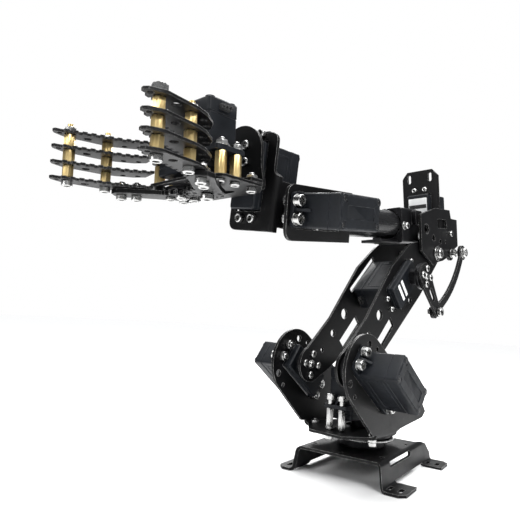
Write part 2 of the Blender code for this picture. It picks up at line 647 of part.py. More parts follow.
def build_forearm(arm):
    elbow = frame("elbow", arm, 0, 0, ARM_LENGTH, "Y", REST_ELBOW)
    part("elbow_bracket", elbow_bracket(), elbow, "black_sheet")
    lever = turned([(0, 17), (3.2, 17), (3.2, 18.1), (1.4, 18.1), (1.4, 20.7), (4.4, 20.7), (4.4, 25), (2, 25),
                    (2, 31.9), (4.4, 31.9), (4.4, 35), (0, 35)], 12, "Y")
    part("elbow_lever_pin", lever, elbow, "steel", Matrix.Translation((-29.3 * MM, 0, 0)))
    part("roll_mount_plate", roll_mount_plate(), elbow, "black_sheet")
    face = -17.0 - GAP
    part("forearm_roll_servo", SERVO, elbow, "servo_black",
         place_of((face, 0, TUBE_RISE), (1, 0, 0), (0, 0, 1)))
    part("bearing_block", bearing_block(), elbow, "horn_black")
    forearm = frame("forearm", elbow, 0, 0, TUBE_RISE, "X", REST_FOREARM_ROLL)
    top = face + SERVO_TOP + GAP
    part("forearm_roll_horn", horn_mesh(6.2, 10.0), forearm, "horn_black",
         place_of((top, 0, 0), (1, 0, 0), (0, 0, 1)))
    part("tube_rear_coupler", tube_coupler(top + 6.2 + GAP, 14), forearm, "horn_black")
    part("forearm_tube", forearm_tube(), forearm, "tube_black")
    part("tube_front_coupler", tube_coupler(152 - GAP, -14), forearm, "horn_black")
    part("wrist_bracket", wrist_bracket(), forearm, "black_sheet")
    px, pz = PITCH_AXIS
    part("wrist_pitch_servo", SERVO, forearm, "servo_black",
         place_of((px, PITCH_FACE + GAP, pz), (0, -1, 0), (-1, 0, 0)))
    return forearm


# ---------------------------------------------------------------- hand

def hand_bracket():
    """Web on the wrist pitch horn, bent round to the plate that holds the wrist roll servo."""
    y0, z0 = ROLL_AXIS
    path = softened([(-15, 21.5), (16.5, 21.5), (16.5, -12.5)], 2.5, closed=False)
    shape = prism(strip(path, SHEET), -16, 44, "Z")
    plate = softened([(-12.5, -14.7), (30, -14.7), (30, 17), (19.3, 17), (19.3, 42.5), (-12.5, 42.5)], 5)
    tools = [prism(rectangle(-30, 15, 12.6, 60), 17, 30, "Y"), prism(rectangle(-30, -30, 12.6, -11.5), 17, 30, "Y")]
    tools += [outside(plate, 10, 25, "X")]
    tools += [prism(circle(0, 0, 3.6, 16), 15, 30, "Y")]
    tools += [prism(circle(7 * math.cos(a), 7 * math.sin(a), 1.4, 6), 15, 30, "Y")
              for a in (math.radians(45 + 90 * k) for k in range(4))]
    tools += [prism(points, 10, 25, "X") for points in
              (servo_window(y0, z0, -math.pi / 2), *servo_bolt_holes(y0, z0, -math.pi / 2))]
    return cut(shape, *tools)


def gripper_back_plate():
    """L bracket: upright plate on the wrist roll horn and a foot that the gripper deck bolts to."""
    back = BACK_PLATE + SHEET / 2
    path = softened([(-11.5, -10.7), (back, -10.7), (back, 30)], 2, closed=False)
    shape = prism(strip(path, SHEET), -30, 30, "Y")
    upright = [(-19, -14), (-19, -6), (-17, 3)] + arc(0, GRIPPER_DROP, 17, 180, 0, 10) + [(17, 3), (19, -6), (19, -14)]
    plan = [(-40, -19), (-29.3, -19), (-20, -29.5), (-5, -29.5), (-5, 29.5), (-20, 29.5), (-29.3, 19), (-40, 19)]
    drills = [prism(circle(0, GRIPPER_DROP, 3.6, 16), -45, -20, "X")]
    drills += [prism(circle(7 * math.cos(a), GRIPPER_DROP + 7 * math.sin(a), 1.4, 6), -45, -20, "X")
               for a in (math.radians(45 + 90 * k) for k in range(4))]
    drills += [prism(circle(-17, y, 1.7, 6), -20, 0) for y in (-24.5, 24.5)]
    return cut(shape, outside(upright, BACK_PLATE - 5, BACK_PLATE + SHEET + 0.8, "X"),
               outside(plan, -14, -8, "Z"), *drills)


def gripper_deck():
    shape = softened([(-29.3, -19), (-20, -29.5), (7, -30), (14, -20), (14, 20), (7, 30), (-20, 29.5), (-29.3, 19)],
                     3)
    holes = [circle(0, -GEAR_RADIUS, 10.4, 28), circle(0, GEAR_RADIUS, 2.3, 12)]
    holes += [circle(x, y, 1.6, 6) for x in (-5, 5) for y in (-24.75, 24.75)]
    holes += [circle(-17, y, 1.7, 6) for y in (-24.5, 24.5)]
    holes += [slot(-18, 0, 20, 6, 90), circle(9, 5, 1.5, 6)]
    return prism(shape, -13.6, -12, "Z", holes)


def build_hand(forearm):
    px, pz = PITCH_AXIS
    hand = frame("hand", forearm, px, 0, pz, "Y", REST_PITCH)
    top = PITCH_FACE + GAP - SERVO_TOP - GAP
    short_horn = horn_mesh(3.2, 10.0)
    part("wrist_pitch_horn", short_horn, hand, "horn_black", place_of((0, top, 0), (0, -1, 0), (0, 0, 1)))
    part("hand_bracket", hand_bracket(), hand, "black_sheet")
    y0, z0 = ROLL_AXIS
    face = 15.5 - GAP
    part("wrist_roll_servo", SERVO, hand, "servo_black", place_of((face, y0, z0), (1, 0, 0), (0, 0, -1)))
    gripper = frame("gripper", hand, GRIPPER_REACH, y0, z0, "X", REST_WRIST_ROLL)
    part("wrist_roll_horn", short_horn, gripper, "horn_black",
         place_of((face + SERVO_TOP + GAP - GRIPPER_REACH, 0, 0), (1, 0, 0), (0, 0, 1)))
    deck = frame("gripper_deck_frame", gripper, 0, 0, -GRIPPER_DROP)
    part("gripper_back_plate", gripper_back_plate(), deck, "black_sheet")
    part("gripper_deck", gripper_deck(), deck, "black_sheet")
    part("gripper_servo", SERVO, deck, "servo_black",
         place_of((0, -GEAR_RADIUS, GAP), (0, 0, -1), (0, 1, 0)))
    for x, fore in ((5, "front"), (-5, "rear")):
        for y, side in ((24.75, "left"), (-24.75, "right")):
            post = moved(turned([(0, -11.7), (2.9, -11.7), (2.9, 0), (0, 0)], 6), x, y)
            part(f"gripper_standoff_{fore}_{side}", post, deck, "brass")
    pin = moved(turned([(0, -22), (3.6, -22), (3.6, -18.6), (2, -18.6), (2, -11.7), (4.2, -11.7), (4.2, -8.9),
                        (0, -8.9)], 12), 0, GEAR_RADIUS)
    part("finger_idler_pin", pin, deck, "steel")
    return deck


# ---------------------------------------------------------------- fingers

def gear_arm(side, phase):
    """Gear segment about its pivot with a flat arm; the arm carries the finger."""
    root, tip = GEAR_RADIUS - 1.5, GEAR_RADIUS + 0.9
    pitch = 360 / GEAR_TEETH
    shape = []
    for k in range(-4, 5):
        centre = -90 + phase * pitch + k * pitch
        for offset, radius in ((-0.31, root), (-0.14, tip), (0.14, tip), (0.31, root)):
            angle = math.radians(centre + offset * pitch)
            shape.append((radius * math.cos(angle), radius * math.sin(angle)))
    shape += [(11.5, 3), (20, 11), (28.5, 19), (28.5, 24), (24, 28), (19, 27), (12.5, 20.5), (-2, 9.2), (-7, 6)]
    holes = [circle(0, 0, 2.3, 12), circle(23.3, 22.5, 1.5, 6), circle(17.3, 17.5, 1.5, 6)]
    holes += [circle(6.4 * math.cos(a), 6.4 * math.sin(a), 1.2, 6)
              for a in (math.radians(45 + 90 * k) for k in range(4))]
    placed = [[(x, side * y) for x, y in points] for points in (shape, *holes)]
    return prism(placed[0], -18.3, -15.8, "Z", placed[1:])


def finger_plate(side, level):
    """Flat finger with a toothed inner edge, in its pivot's frame."""
    first, bend, last = Vector((15.5, 14.5)), Vector((28, 23.6)), Vector((57.5, 35.2))
    near, far = (bend - first).length, (last - bend).length
    inner = []
    for k in range(FINGER_TEETH):
        for share, depth in ((0.0, 0), (0.55, 0), (0.6, 1.7), (0.95, 1.7)):
            along = (k + share) * (near + far) / FINGER_TEETH
            start, run, travel = (first, bend - first, along) if along < near else (bend, last - bend, along - near)
            run.normalize()
            point = start + run * travel + Vector((-run.y, run.x)) * depth
            inner.append(tuple(point))
    outline = inner + [(59.2, 37.2), (59.6, 39.2), (58.2, 41.2), (54.5, 42.6), (51, 43.6), (42, 42), (32, 40.4),
                       (25.5, 37.9), (17, 31.9), (13.2, 26)]
    holes = [circle(x, y, 1.95, 6) for x, y in FINGER_COLUMNS.values()]
    holes += [circle(42, 37, 2, 10), circle(56, 39, 1.3, 6), circle(23.3, 32.5, 1.5, 6),
              circle(17.3, 27.5, 1.5, 6)]
    placed = [[(x, side * (y - GEAR_RADIUS)) for x, y in points] for points in (outline, *holes)]
    return prism(placed[0], level - FINGER_THICK / 2, level + FINGER_THICK / 2, "Z", placed[1:])


def finger_column():
    """Threaded rod through the finger plates with hexagonal spacers between them and nuts outside."""
    rod, hexagon = 1.5, 2.9
    half = FINGER_THICK / 2 + GAP
    foot = FINGER_LEVELS[0] - half
    profile = [(0, foot - 2.4), (hexagon, foot - 2.4), (hexagon, foot)]
    for low, high in zip(FINGER_LEVELS, FINGER_LEVELS[1:]):
        profile += [(rod, low - half), (rod, low + half), (hexagon, low + half), (hexagon, high - half)]
    last = FINGER_LEVELS[-1]
    profile += [(rod, last - half), (rod, last + half), (hexagon, last + half), (hexagon, last + half + 2.4),
                (rod, last + half + 2.4), (rod, last + half + 4), (0, last + half + 4)]
    return turned(profile, 6)


def build_fingers(deck):
    names = ("lower", "mid_lower", "mid_upper", "upper")
    column = finger_column()
    for side, name in ((1, "left"), (-1, "right")):
        pivot = frame(f"finger_{name}", deck, 0, side * GEAR_RADIUS, 0)
        part(f"finger_gear_{name}", gear_arm(side, 0.0 if side > 0 else 0.5), pivot, "black_sheet")
        for level, level_name in zip(FINGER_LEVELS, names):
            part(f"finger_{name}_{level_name}", finger_plate(side, level), pivot, "black_sheet")
        for place, (x, y) in FINGER_COLUMNS.items():
            part(f"finger_{name}_{place}_column", column, pivot, "brass",
                 Matrix.Translation((x * MM, side * (y - GEAR_RADIUS) * MM, 0)))
        if side < 0:
            start = GAP - SERVO_TOP - GAP
            part("finger_drive_horn", horn_mesh(15.5 + start, 9.6, 2.0), pivot, "horn_black",
                 place_of((0, 0, start), (0, 0, -1), (1, 0, 0)))


for old in list(bpy.data.objects):
    bpy.data.objects.remove(old)
MATERIALS = make_materials()
SERVO = servo_mesh()
TURNTABLE = build_base()
UPPER_ARM = build_upper_arm(TURNTABLE)
FOREARM = build_forearm(UPPER_ARM)
DECK = build_hand(FOREARM)
build_fingers(DECK)
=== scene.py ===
"""Looks of the desktop robot arm: bent sheet brackets, servos, fasteners and a geared gripper.

Lengths are in millimetres until a mesh is made. Each piece is shaped in a local frame that is
rebuilt from the record's joints, and rides on the body that it belongs to.
"""

import json
import math
from functools import cache
from itertools import product

import bmesh
import bpy
from mathutils import Matrix, Vector
from mathutils.geometry import delaunay_2d_cdt


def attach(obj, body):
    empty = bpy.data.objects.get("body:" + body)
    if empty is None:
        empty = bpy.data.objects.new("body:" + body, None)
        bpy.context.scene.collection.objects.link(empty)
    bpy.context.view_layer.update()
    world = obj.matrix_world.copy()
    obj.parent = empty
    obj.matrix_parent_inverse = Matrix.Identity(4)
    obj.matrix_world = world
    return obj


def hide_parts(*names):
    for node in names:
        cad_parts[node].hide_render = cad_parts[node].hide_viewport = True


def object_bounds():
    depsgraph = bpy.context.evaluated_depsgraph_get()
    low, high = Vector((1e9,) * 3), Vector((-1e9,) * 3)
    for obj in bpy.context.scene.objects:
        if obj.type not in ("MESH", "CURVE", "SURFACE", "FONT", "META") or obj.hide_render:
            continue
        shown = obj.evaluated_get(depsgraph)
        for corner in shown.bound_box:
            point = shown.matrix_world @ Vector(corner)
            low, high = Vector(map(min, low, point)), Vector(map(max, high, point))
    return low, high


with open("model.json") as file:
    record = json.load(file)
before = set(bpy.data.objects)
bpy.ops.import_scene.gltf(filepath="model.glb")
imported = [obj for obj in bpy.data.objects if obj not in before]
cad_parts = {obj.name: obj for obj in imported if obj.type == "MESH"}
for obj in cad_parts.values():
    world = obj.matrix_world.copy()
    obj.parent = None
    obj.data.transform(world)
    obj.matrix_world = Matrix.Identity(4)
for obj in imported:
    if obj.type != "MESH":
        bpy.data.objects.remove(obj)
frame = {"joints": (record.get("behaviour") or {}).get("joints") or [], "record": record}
CAD_LOW, CAD_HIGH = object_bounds()
RECORD = frame["record"]
JOINTS = {joint["name"]: joint for joint in frame["joints"]}
BODY_OF = {node: body for body, nodes in RECORD["behaviour"]["bodies"].items() for node in nodes}
BODY_OF_FRAME = {"deck": "gripper"}

MM = 0.001
GAP = 0.3  # clearance between pieces that touch
SHEET = 2.0  # thickness of the bent sheet brackets
PAST = 60  # a cutter reaches at least this far past the arm's middle plane
EDGE = 0.22  # rounding of a bracket's edges
SERVO_EDGE = 0.12
SIDES = ((1, "left"), (-1, "right"))
SERVO_SHAFT_INSET = 10.0
CASE_NEAR = -SERVO_SHAFT_INSET
CASE_FAR = 40.0 - SERVO_SHAFT_INSET
CASE_HALF = 10.0  # half the case's width
SERVO_FLANGE = 54.0
SERVO_FLANGE_THICK = 2.5
SERVO_BACK = -28.4  # back of the case, below the flange's top face
SERVO_TOP = 8.0  # case height in front of the flange
SPLINE_HIGH = 3.5
SPLINE_RADIUS = 3.0
SERVO_HOLE_X = (-14.75, 34.75)
SERVO_HOLE_Y = 5.0
SERVO_HOLES = tuple(product(SERVO_HOLE_X, (-SERVO_HOLE_Y, SERVO_HOLE_Y)))
COVER_SCREWS = tuple(product((-6.9, 26.9), (-6.9, 6.9)))
BASE_TOP = 17.3
FOOT_FRONT = 46.0
FOOT_REAR = -62.0
FOOT_TIPS = (48.5, -44.5)  # outer edges of the feet, to the left and right of the yaw axis
RING_OUTER = 22.5
RING_BORE = 13.0
RING_SPLIT = 24.6  # top of the bearing's fixed race
DECK_LOW = 29.0  # underside of the turntable's floor
YAW_FLANGE = 46.0  # the yaw servo's flange above the floor
EAR_OUTER = 31.1
SHOULDER = (47.0, 75.7)  # shoulder axis, forward and up from the yaw axis
SHOULDER_SERVO_DROP = math.radians(37.0)
ARM_OUTER = 16.55
ARM_INNER = ARM_OUTER - SHEET
ARM_LENGTH = 159.7  # shoulder axis to elbow axis
ELBOW_SERVO = (9.5, 104.7)  # elbow servo shaft in the upper arm
ELBOW_SERVO_TILT = math.radians(5.4)
CRANK_PIN = (-25.7, 107.3)
LEVER_PIN = (-14.4, 185.2)
LEVER_REACH = 29.3  # lever pin behind the elbow axis
LINK_BULGE = 7.8
CRANK_FACE = 32.2
LINK_FACE = 29.0
ELBOW_OUTER = 20.4
ROLL_FLANGE = -17.0  # forearm roll servo's flange, behind the elbow axis
TUBE_RISE = 25.2  # tube axis above the elbow axis
TUBE_RADIUS = 11.75
TUBE_WALL = 1.6
TUBE_ENDS = (1.8, 148.0)
PITCH_AXIS = (197.7, 1.8)  # wrist pitch axis in the forearm
PITCH_FACE = 34.0  # outer face of the wrist bracket's side
ROLL_AXIS = (2.0, 27.2)  # wrist roll axis in the hand
HAND_FACE = 15.5  # rear face of the hand bracket's plate
GRIPPER_REACH = 60.5  # gripper servo axis forward of the wrist pitch axis
BACK_PLATE = 27.0 - GRIPPER_REACH  # rear face of the gripper back plate, on the roll horn
GRIPPER_DROP = 11.1  # gripper servo flange below the roll axis
GEAR_RADIUS = 10.0
GEAR_TEETH = 16
GEAR_LEVELS = (-18.3, -15.8)
DECK_LEVELS = (-13.6, -12.0)
FINGER_LEVELS = (-14.75, -6.9, 0.95, 8.8)
FINGER_NAMES = ("lower", "mid_lower", "mid_upper", "upper")
FINGER_THICK = 1.5
FINGER_COLUMNS = {"rear": (32.0, 34.7), "front": (51.0, 37.9)}
FINGER_TEETH = 11


# ---- outlines

def circle(x, y, radius, sides=18):
    """Points round a circle, started off the axes so that none lies on a plate's centre line."""
    angles = [math.tau * (k + 0.37) / sides for k in range(sides)]
    return [(x + radius * math.cos(a), y + radius * math.sin(a)) for a in angles]


def circles(*rows):
    return [circle(*row) for row in rows]


QUARTERS = [math.radians(45 + 90 * k) for k in range(4)]


def bolt_circle(reach, radius, x=0.0, y=0.0, angles=QUARTERS):
    return [circle(x + reach * math.cos(a), y + reach * math.sin(a), radius) for a in angles]


def arc(x, y, radius, start, end, steps):
    """Points along an arc, angles in degrees."""
    angles = [math.radians(start + (end - start) * k / steps) for k in range(steps + 1)]
    return [(x + radius * math.cos(a), y + radius * math.sin(a)) for a in angles]


def rectangle(x0, y0, x1, y1):
    return [(x0, y0), (x1, y0), (x1, y1), (x0, y1)]


def placed(points, x, y, angle):
    """The points turned about the origin and then moved to x, y."""
    c, s = math.cos(angle), math.sin(angle)
    return [(x + c * a - s * b, y + s * a + c * b) for a, b in points]


def slot(x, y, length, width, angle=0.0):
    """Round-ended slot centred on x, y; the angle is in degrees."""
    reach = (length - width) / 2
    ends = arc(reach, 0, width / 2, -90, 90, 12) + arc(-reach, 0, width / 2, 90, 270, 12)
    return placed(ends, x, y, math.radians(angle))


def softened(points, radius, closed=True, steps=6):
    """The same path with each corner replaced by an arc of the given radius."""
    result = []
    count = len(points)
    for k, point in enumerate(points):
        if not closed and k in (0, count - 1):
            result.append(point)
            continue
        corner = Vector(point)
        before = Vector(points[k - 1]) - corner
        after = Vector(points[(k + 1) % count]) - corner
        half = before.angle(after) / 2
        reach = min(radius / math.tan(half), before.length * 0.45, after.length * 0.45)
        bend = reach * math.tan(half)
        before.normalize()
        after.normalize()
        middle = corner + (before + after).normalized() * (bend / math.sin(half))
        first = corner + before * reach - middle
        last = corner + after * reach - middle
        turn = first.angle_signed(last)
        for step in range(steps + 1):
            result += placed([first], middle.x, middle.y, -turn * step / steps)
    return result


def strip(path, thickness):
    """Closed outline of a sheet of this thickness whose middle follows an open path."""
    left, right = [], []
    for k, point in enumerate(path):
        here = Vector(point)
        directions = []
        if k > 0:
            directions.append((here - Vector(path[k - 1])).normalized())
        if k < len(path) - 1:
            directions.append((Vector(path[k + 1]) - here).normalized())
        along = sum(directions, Vector((0, 0))).normalized()
        across = Vector((-along.y, along.x))
        width = thickness / 2 / max(0.3, along.dot(directions[0]))
        left.append(tuple(here + across * width))
        right.append(tuple(here - across * width))
    return left + right[::-1]


# ---- solids

FACES_WITH_HOLES = 5  # fill mode: faces inside an outline, open inside its holes
AXES = {
    "X": Matrix(((0, 0, 1), (1, 0, 0), (0, 1, 0))),
    "Y": Matrix(((1, 0, 0), (0, 0, 1), (0, 1, 0))),
    "Z": Matrix.Identity(3),
}
SPINS = {
    "X": Matrix.Rotation(math.pi / 2, 4, "Y"),
    "Y": Matrix.Rotation(-math.pi / 2, 4, "X"),
    "Z": Matrix.Identity(4),
}


def in_scene(name, data):
    item = bpy.data.objects.new(name, data)
    bpy.context.scene.collection.objects.link(item)
    return item


def mesh_from(work, name):
    mesh = bpy.data.meshes.new(name)
    work.to_mesh(mesh)
    work.free()
    return mesh


def cleaned(mesh):
    """The mesh with double points merged, flat faces joined and normals outward."""
    work = bmesh.new()
    work.from_mesh(mesh)
    bmesh.ops.remove_doubles(work, verts=work.verts, dist=2e-6)
    bmesh.ops.dissolve_limit(
        work, angle_limit=math.radians(0.6), verts=work.verts, edges=work.edges)
    bmesh.ops.recalc_face_normals(work, faces=work.faces)
    work.to_mesh(mesh)
    work.free()
    return mesh


def anticlockwise(points):
    doubled = sum(a[0] * b[1] - b[0] * a[1] for a, b in zip(points, points[1:] + points[:1]))
    return points if doubled > 0 else points[::-1]


def prism(outline, low, high, axis="Z", holes=()):
    """Outline and holes extruded from low to high along an axis; the outline uses the other two."""
    corners, rings = [], []
    for loop in (anticlockwise(outline), *(anticlockwise(hole) for hole in holes)):
        rings.append(list(range(len(corners), len(corners) + len(loop))))
        corners += [Vector(point) for point in loop]
    filled, _, caps, *_ = delaunay_2d_cdt(corners, [], rings, FACES_WITH_HOLES, 1e-5)
    work = bmesh.new()
    verts = [work.verts.new((x * MM, y * MM, low * MM)) for x, y in filled]
    faces = [work.faces.new([verts[k] for k in cap]) for cap in caps]
    grown = bmesh.ops.extrude_face_region(work, geom=faces, use_keep_orig=True)["geom"]
    lifted = [item for item in grown if isinstance(item, bmesh.types.BMVert)]
    bmesh.ops.translate(work, verts=lifted, vec=(0, 0, (high - low) * MM))
    mesh = mesh_from(work, "prism")
    mesh.transform(AXES[axis].to_4x4())
    return cleaned(mesh)


def prisms(outlines, low, high, axis="Z"):
    return [prism(outline, low, high, axis) for outline in outlines]


def two_sided(outline, near, far):
    """The same prism along Y on both sides of the middle plane."""
    return [prism(outline, *sorted((side * near, side * far)), "Y") for side in (-1, 1)]


def bent(path, radius, low, high, axis):
    """Sheet bent along an open path, from low to high across it."""
    return prism(strip(softened(path, radius, closed=False), SHEET), low, high, axis)


def turned(profile, sides=48, axis="Z"):
    """Solid of revolution, from (radius, height) points that end on the axis or close."""
    work = bmesh.new()
    verts = [work.verts.new((radius * MM, 0, height * MM)) for radius, height in profile]
    edges = [work.edges.new(pair) for pair in zip(verts, verts[1:])]
    if profile[0][0] > 0 or profile[-1][0] > 0:
        edges.append(work.edges.new((verts[-1], verts[0])))
    bmesh.ops.spin(work, geom=verts + edges, cent=(0, 0, 0), axis=(0, 0, 1), angle=math.tau,
                   steps=sides, use_merge=True)
    mesh = mesh_from(work, "turned")
    mesh.transform(SPINS[axis])
    return cleaned(mesh)


def combine(mesh, tools, operation):
    """Boolean of the mesh with each tool mesh in turn."""
    for tool in tools:
        body, other = in_scene("body", mesh), in_scene("tool", tool)
        step = body.modifiers.new("step", "BOOLEAN")
        step.operation = operation
        step.solver = "EXACT"
        step.object = other
        bpy.context.view_layer.update()
        evaluated = body.evaluated_get(bpy.context.evaluated_depsgraph_get())
        mesh = bpy.data.meshes.new_from_object(evaluated)
        bpy.data.objects.remove(body)
        bpy.data.objects.remove(other)
    return cleaned(mesh)


def cut(mesh, *tools):
    return combine(mesh, tools, "DIFFERENCE")


def joined(mesh, *tools):
    return combine(mesh, tools, "UNION")


def outside(outline, low, high, axis):
    """Everything around an outline, as a cutter."""
    return prism(rectangle(-400, -400, 400, 400), low, high, axis, [outline])


def moved_by(x, y, z):
    return Matrix.Translation((x * MM, y * MM, z * MM))


def basis(x, y, z):
    """Turn whose local axes are three given directions."""
    return Matrix((x, y, z)).transposed().to_4x4()


def place_of(origin, shaft, along=(0, 0, 1)):
    """Matrix that puts a local shaft direction (+Z) and long direction (+X) in the parent."""
    z = Vector(shaft).normalized()
    x = Vector(along).normalized()
    return Matrix.Translation(Vector(origin) * MM) @ basis(x, z.cross(x), z)


# ---- local frames

def joint_at(name):
    return Vector(JOINTS[name]["pos_m"])


def joint_axis(name):
    return Vector(JOINTS[name]["axis"]).normalized()


def axes_at(origin, first, second, order):
    """Frame with one exact axis and a second squared up to it; order names both, such as "YX"."""
    found = {order[0]: first.normalized()}
    found[order[1]] = (second - found[order[0]] * second.dot(found[order[0]])).normalized()
    missing = ({"X", "Y", "Z"} - set(order)).pop()
    pair = {"X": ("Y", "Z"), "Y": ("Z", "X"), "Z": ("X", "Y")}[missing]
    found[missing] = found[pair[0]].cross(found[pair[1]])
    return Matrix.Translation(origin) @ basis(found["X"], found["Y"], found["Z"])


def local_frames():
    shoulder, elbow = joint_at("shoulder_pitch"), joint_at("elbow_bend")
    across = joint_axis("shoulder_pitch")
    along = joint_axis("forearm_roll")
    reach = joint_axis("wrist_roll")
    upright = joint_axis("finger_left_swing")
    left, right = joint_at("finger_left_swing"), joint_at("finger_right_swing")
    arm = axes_at(shoulder, across, elbow - shoulder, "YZ")
    arm_turn = arm.to_3x3().to_4x4()
    pitch = joint_axis("wrist_pitch")
    return {
        "base": Matrix.Identity(4),
        "turntable": axes_at(Vector((0, 0, 0)), across, Vector((0, 0, 1)), "YZ"),
        "upper_arm": arm,
        "crank": Matrix.Translation(joint_at("crank_turn")) @ arm_turn,
        "link": Matrix.Translation(joint_at("link_turn")) @ arm_turn,
        "elbow": axes_at(elbow, across, along, "YX"),
        "forearm": axes_at(joint_at("forearm_roll"), along, pitch, "XY"),
        "hand": axes_at(joint_at("wrist_pitch"), pitch, reach, "YX"),
        "gripper": axes_at(joint_at("wrist_roll"), reach, upright, "XZ"),
        "deck": axes_at((left + right) / 2, upright, reach, "ZX"),
        "finger_left": axes_at(left, upright, reach, "ZX"),
        "finger_right": axes_at(right, upright, reach, "ZX"),
    }


FRAMES = local_frames()


# ---- materials

class Nodes:
    """Short hand for wiring a procedural material."""

    def __init__(self, name):
        self.material = bpy.data.materials.new(name)
        self.material.use_nodes = True
        self.tree = self.material.node_tree
        self.shader = self.tree.nodes["Principled BSDF"]
        self.where = self.add("ShaderNodeTexCoord").outputs["Object"]

    def put(self, node, inputs):
        """Sets a node's inputs, each to a number, a tuple or another node's output."""
        for key, value in inputs.items():
            socket = node.inputs[key]
            if isinstance(value, bpy.types.NodeSocket):
                self.tree.links.new(value, socket)
            elif socket.type == "RGBA":
                socket.default_value = (*value, 1)
            else:
                socket.default_value = value

    def add(self, kind, inputs=None, **settings):
        node = self.tree.nodes.new(kind)
        for key, value in settings.items():
            setattr(node, key, value)
        self.put(node, inputs or {})
        return node

    def stretched(self, x, y, z):
        node = self.add("ShaderNodeMapping", {"Scale": (x, y, z), "Vector": self.where})
        return node.outputs["Vector"]

    def noise(self, scale, detail=3.0, rough=0.55, where=None):
        node = self.add("ShaderNodeTexNoise", {
            "Scale": scale, "Detail": detail, "Roughness": rough, "Vector": where or self.where})
        return node.outputs["Fac"]

    def ramp(self, value, low, high, start=0.0, end=1.0):
        node = self.add("ShaderNodeMapRange", {
            "From Min": low, "From Max": high, "To Min": start, "To Max": end, "Value": value},
            clamp=True)
        return node.outputs["Result"]

    def maths(self, operation, a, b):
        return self.add("ShaderNodeMath", {0: a, 1: b}, operation=operation).outputs[0]

    def times(self, a, b):
        return self.maths("MULTIPLY", a, b)

    def mix(self, factor, first, second):
        """Colour between two; each is a tuple or another node's colour."""
        node = self.add("ShaderNodeMix", {0: factor, 6: first, 7: second}, data_type="RGBA")
        return node.outputs[2]

    def edges(self, radius, low, high):
        """1 on an edge and 0 on flat faces."""
        bevel = self.add("ShaderNodeBevel", {"Radius": radius}, samples=4).outputs["Normal"]
        flat = self.add("ShaderNodeNewGeometry").outputs["Normal"]
        dot = self.add("ShaderNodeVectorMath", {0: bevel, 1: flat}, operation="DOT_PRODUCT")
        return self.ramp(dot.outputs["Value"], high, low)

    def facing_up(self):
        normal = self.add("ShaderNodeNewGeometry").outputs["Normal"]
        split = self.add("ShaderNodeSeparateXYZ", {0: normal})
        return self.ramp(split.outputs["Z"], 0.55, 1.0)

    def bump(self, height, strength, distance, after=None):
        inputs = {"Strength": strength, "Distance": distance, "Height": height}
        if after is not None:
            inputs["Normal"] = after
        return self.add("ShaderNodeBump", inputs).outputs["Normal"]

    def finish(self, colour, rough, metallic, normal=None, coat=0.0, gloss=0.5):
        inputs = {"Base Color": colour, "Roughness": rough, "Metallic": metallic,
                  "Coat Weight": coat, "Specular IOR Level": gloss}
        if normal is not None:
            inputs["Normal"] = normal
        self.put(self.shader, inputs)
        return self.material


def coated_sheet():
    """Black coated sheet: grain, cloudy sheen, dust on top faces, bright edges of chipped wear and
    painted highlight.
    """
    n = Nodes("black_sheet")
    cloud = n.noise(55, 4)
    grain = n.noise(2600, 2, 0.7)
    scuffs = n.noise(420, 5, 0.7, n.stretched(1, 1, 0.25))
    colour = n.mix(n.ramp(cloud, 0.3, 0.72), (0.0018, 0.0018, 0.002), (0.004, 0.004, 0.0045))
    scratch = n.ramp(scuffs, 0.66, 0.74)
    colour = n.mix(n.times(scratch, 0.35), colour, (0.09, 0.09, 0.093))
    dust = n.times(n.facing_up(), n.ramp(n.noise(240, 5, 0.75), 0.45, 0.8, 0.0, 0.05))
    colour = n.mix(dust, colour, (0.2, 0.19, 0.18))
    # Bright edges: partly chipped wear, partly a painted highlight along the edges.
    bright_edge_breakup = n.ramp(n.noise(300, 4, 0.7), 0.36, 0.62)
    bright_edge = n.times(n.times(n.edges(0.0005, 0.80, 0.97), bright_edge_breakup), 0.8)
    colour = n.mix(bright_edge, colour, (0.62, 0.62, 0.61))
    rough = n.ramp(cloud, 0.25, 0.75, 0.36, 0.5)
    rough = n.maths("ADD", rough, n.times(dust, 0.9))
    metallic = n.times(bright_edge, 0.6)
    normal = n.bump(cloud, 0.10, 0.0004, n.bump(grain, 0.16, 0.00012))
    return n.finish(colour, rough, metallic, normal, gloss=0.17)


def moulded_plastic():
    """Servo case: blue-black moulded plastic with a spark-eroded grain and rubbed corners."""
    n = Nodes("servo_black")
    pits = n.noise(3400, 2, 0.6)
    cloud = n.noise(80, 4)
    swirl = n.noise(160, 6, 0.7, n.stretched(1, 0.4, 1))
    colour = n.mix(n.ramp(cloud, 0.3, 0.7), (0.004, 0.005, 0.0065), (0.009, 0.0105, 0.0135))
    worn = n.times(n.edges(0.0006, 0.82, 0.98), n.ramp(n.noise(260, 3), 0.4, 0.65, 0, 0.55))
    colour = n.mix(worn, colour, (0.075, 0.08, 0.09))
    dust = n.times(n.facing_up(), n.ramp(swirl, 0.45, 0.8, 0.0, 0.06))
    colour = n.mix(dust, colour, (0.16, 0.155, 0.15))
    rough = n.ramp(swirl, 0.3, 0.7, 0.36, 0.56)
    normal = n.bump(pits, 0.32, 0.00009)
    normal = n.bump(n.noise(18, 2), 0.06, 0.0012, normal)
    return n.finish(colour, rough, 0.0, normal, gloss=0.2)


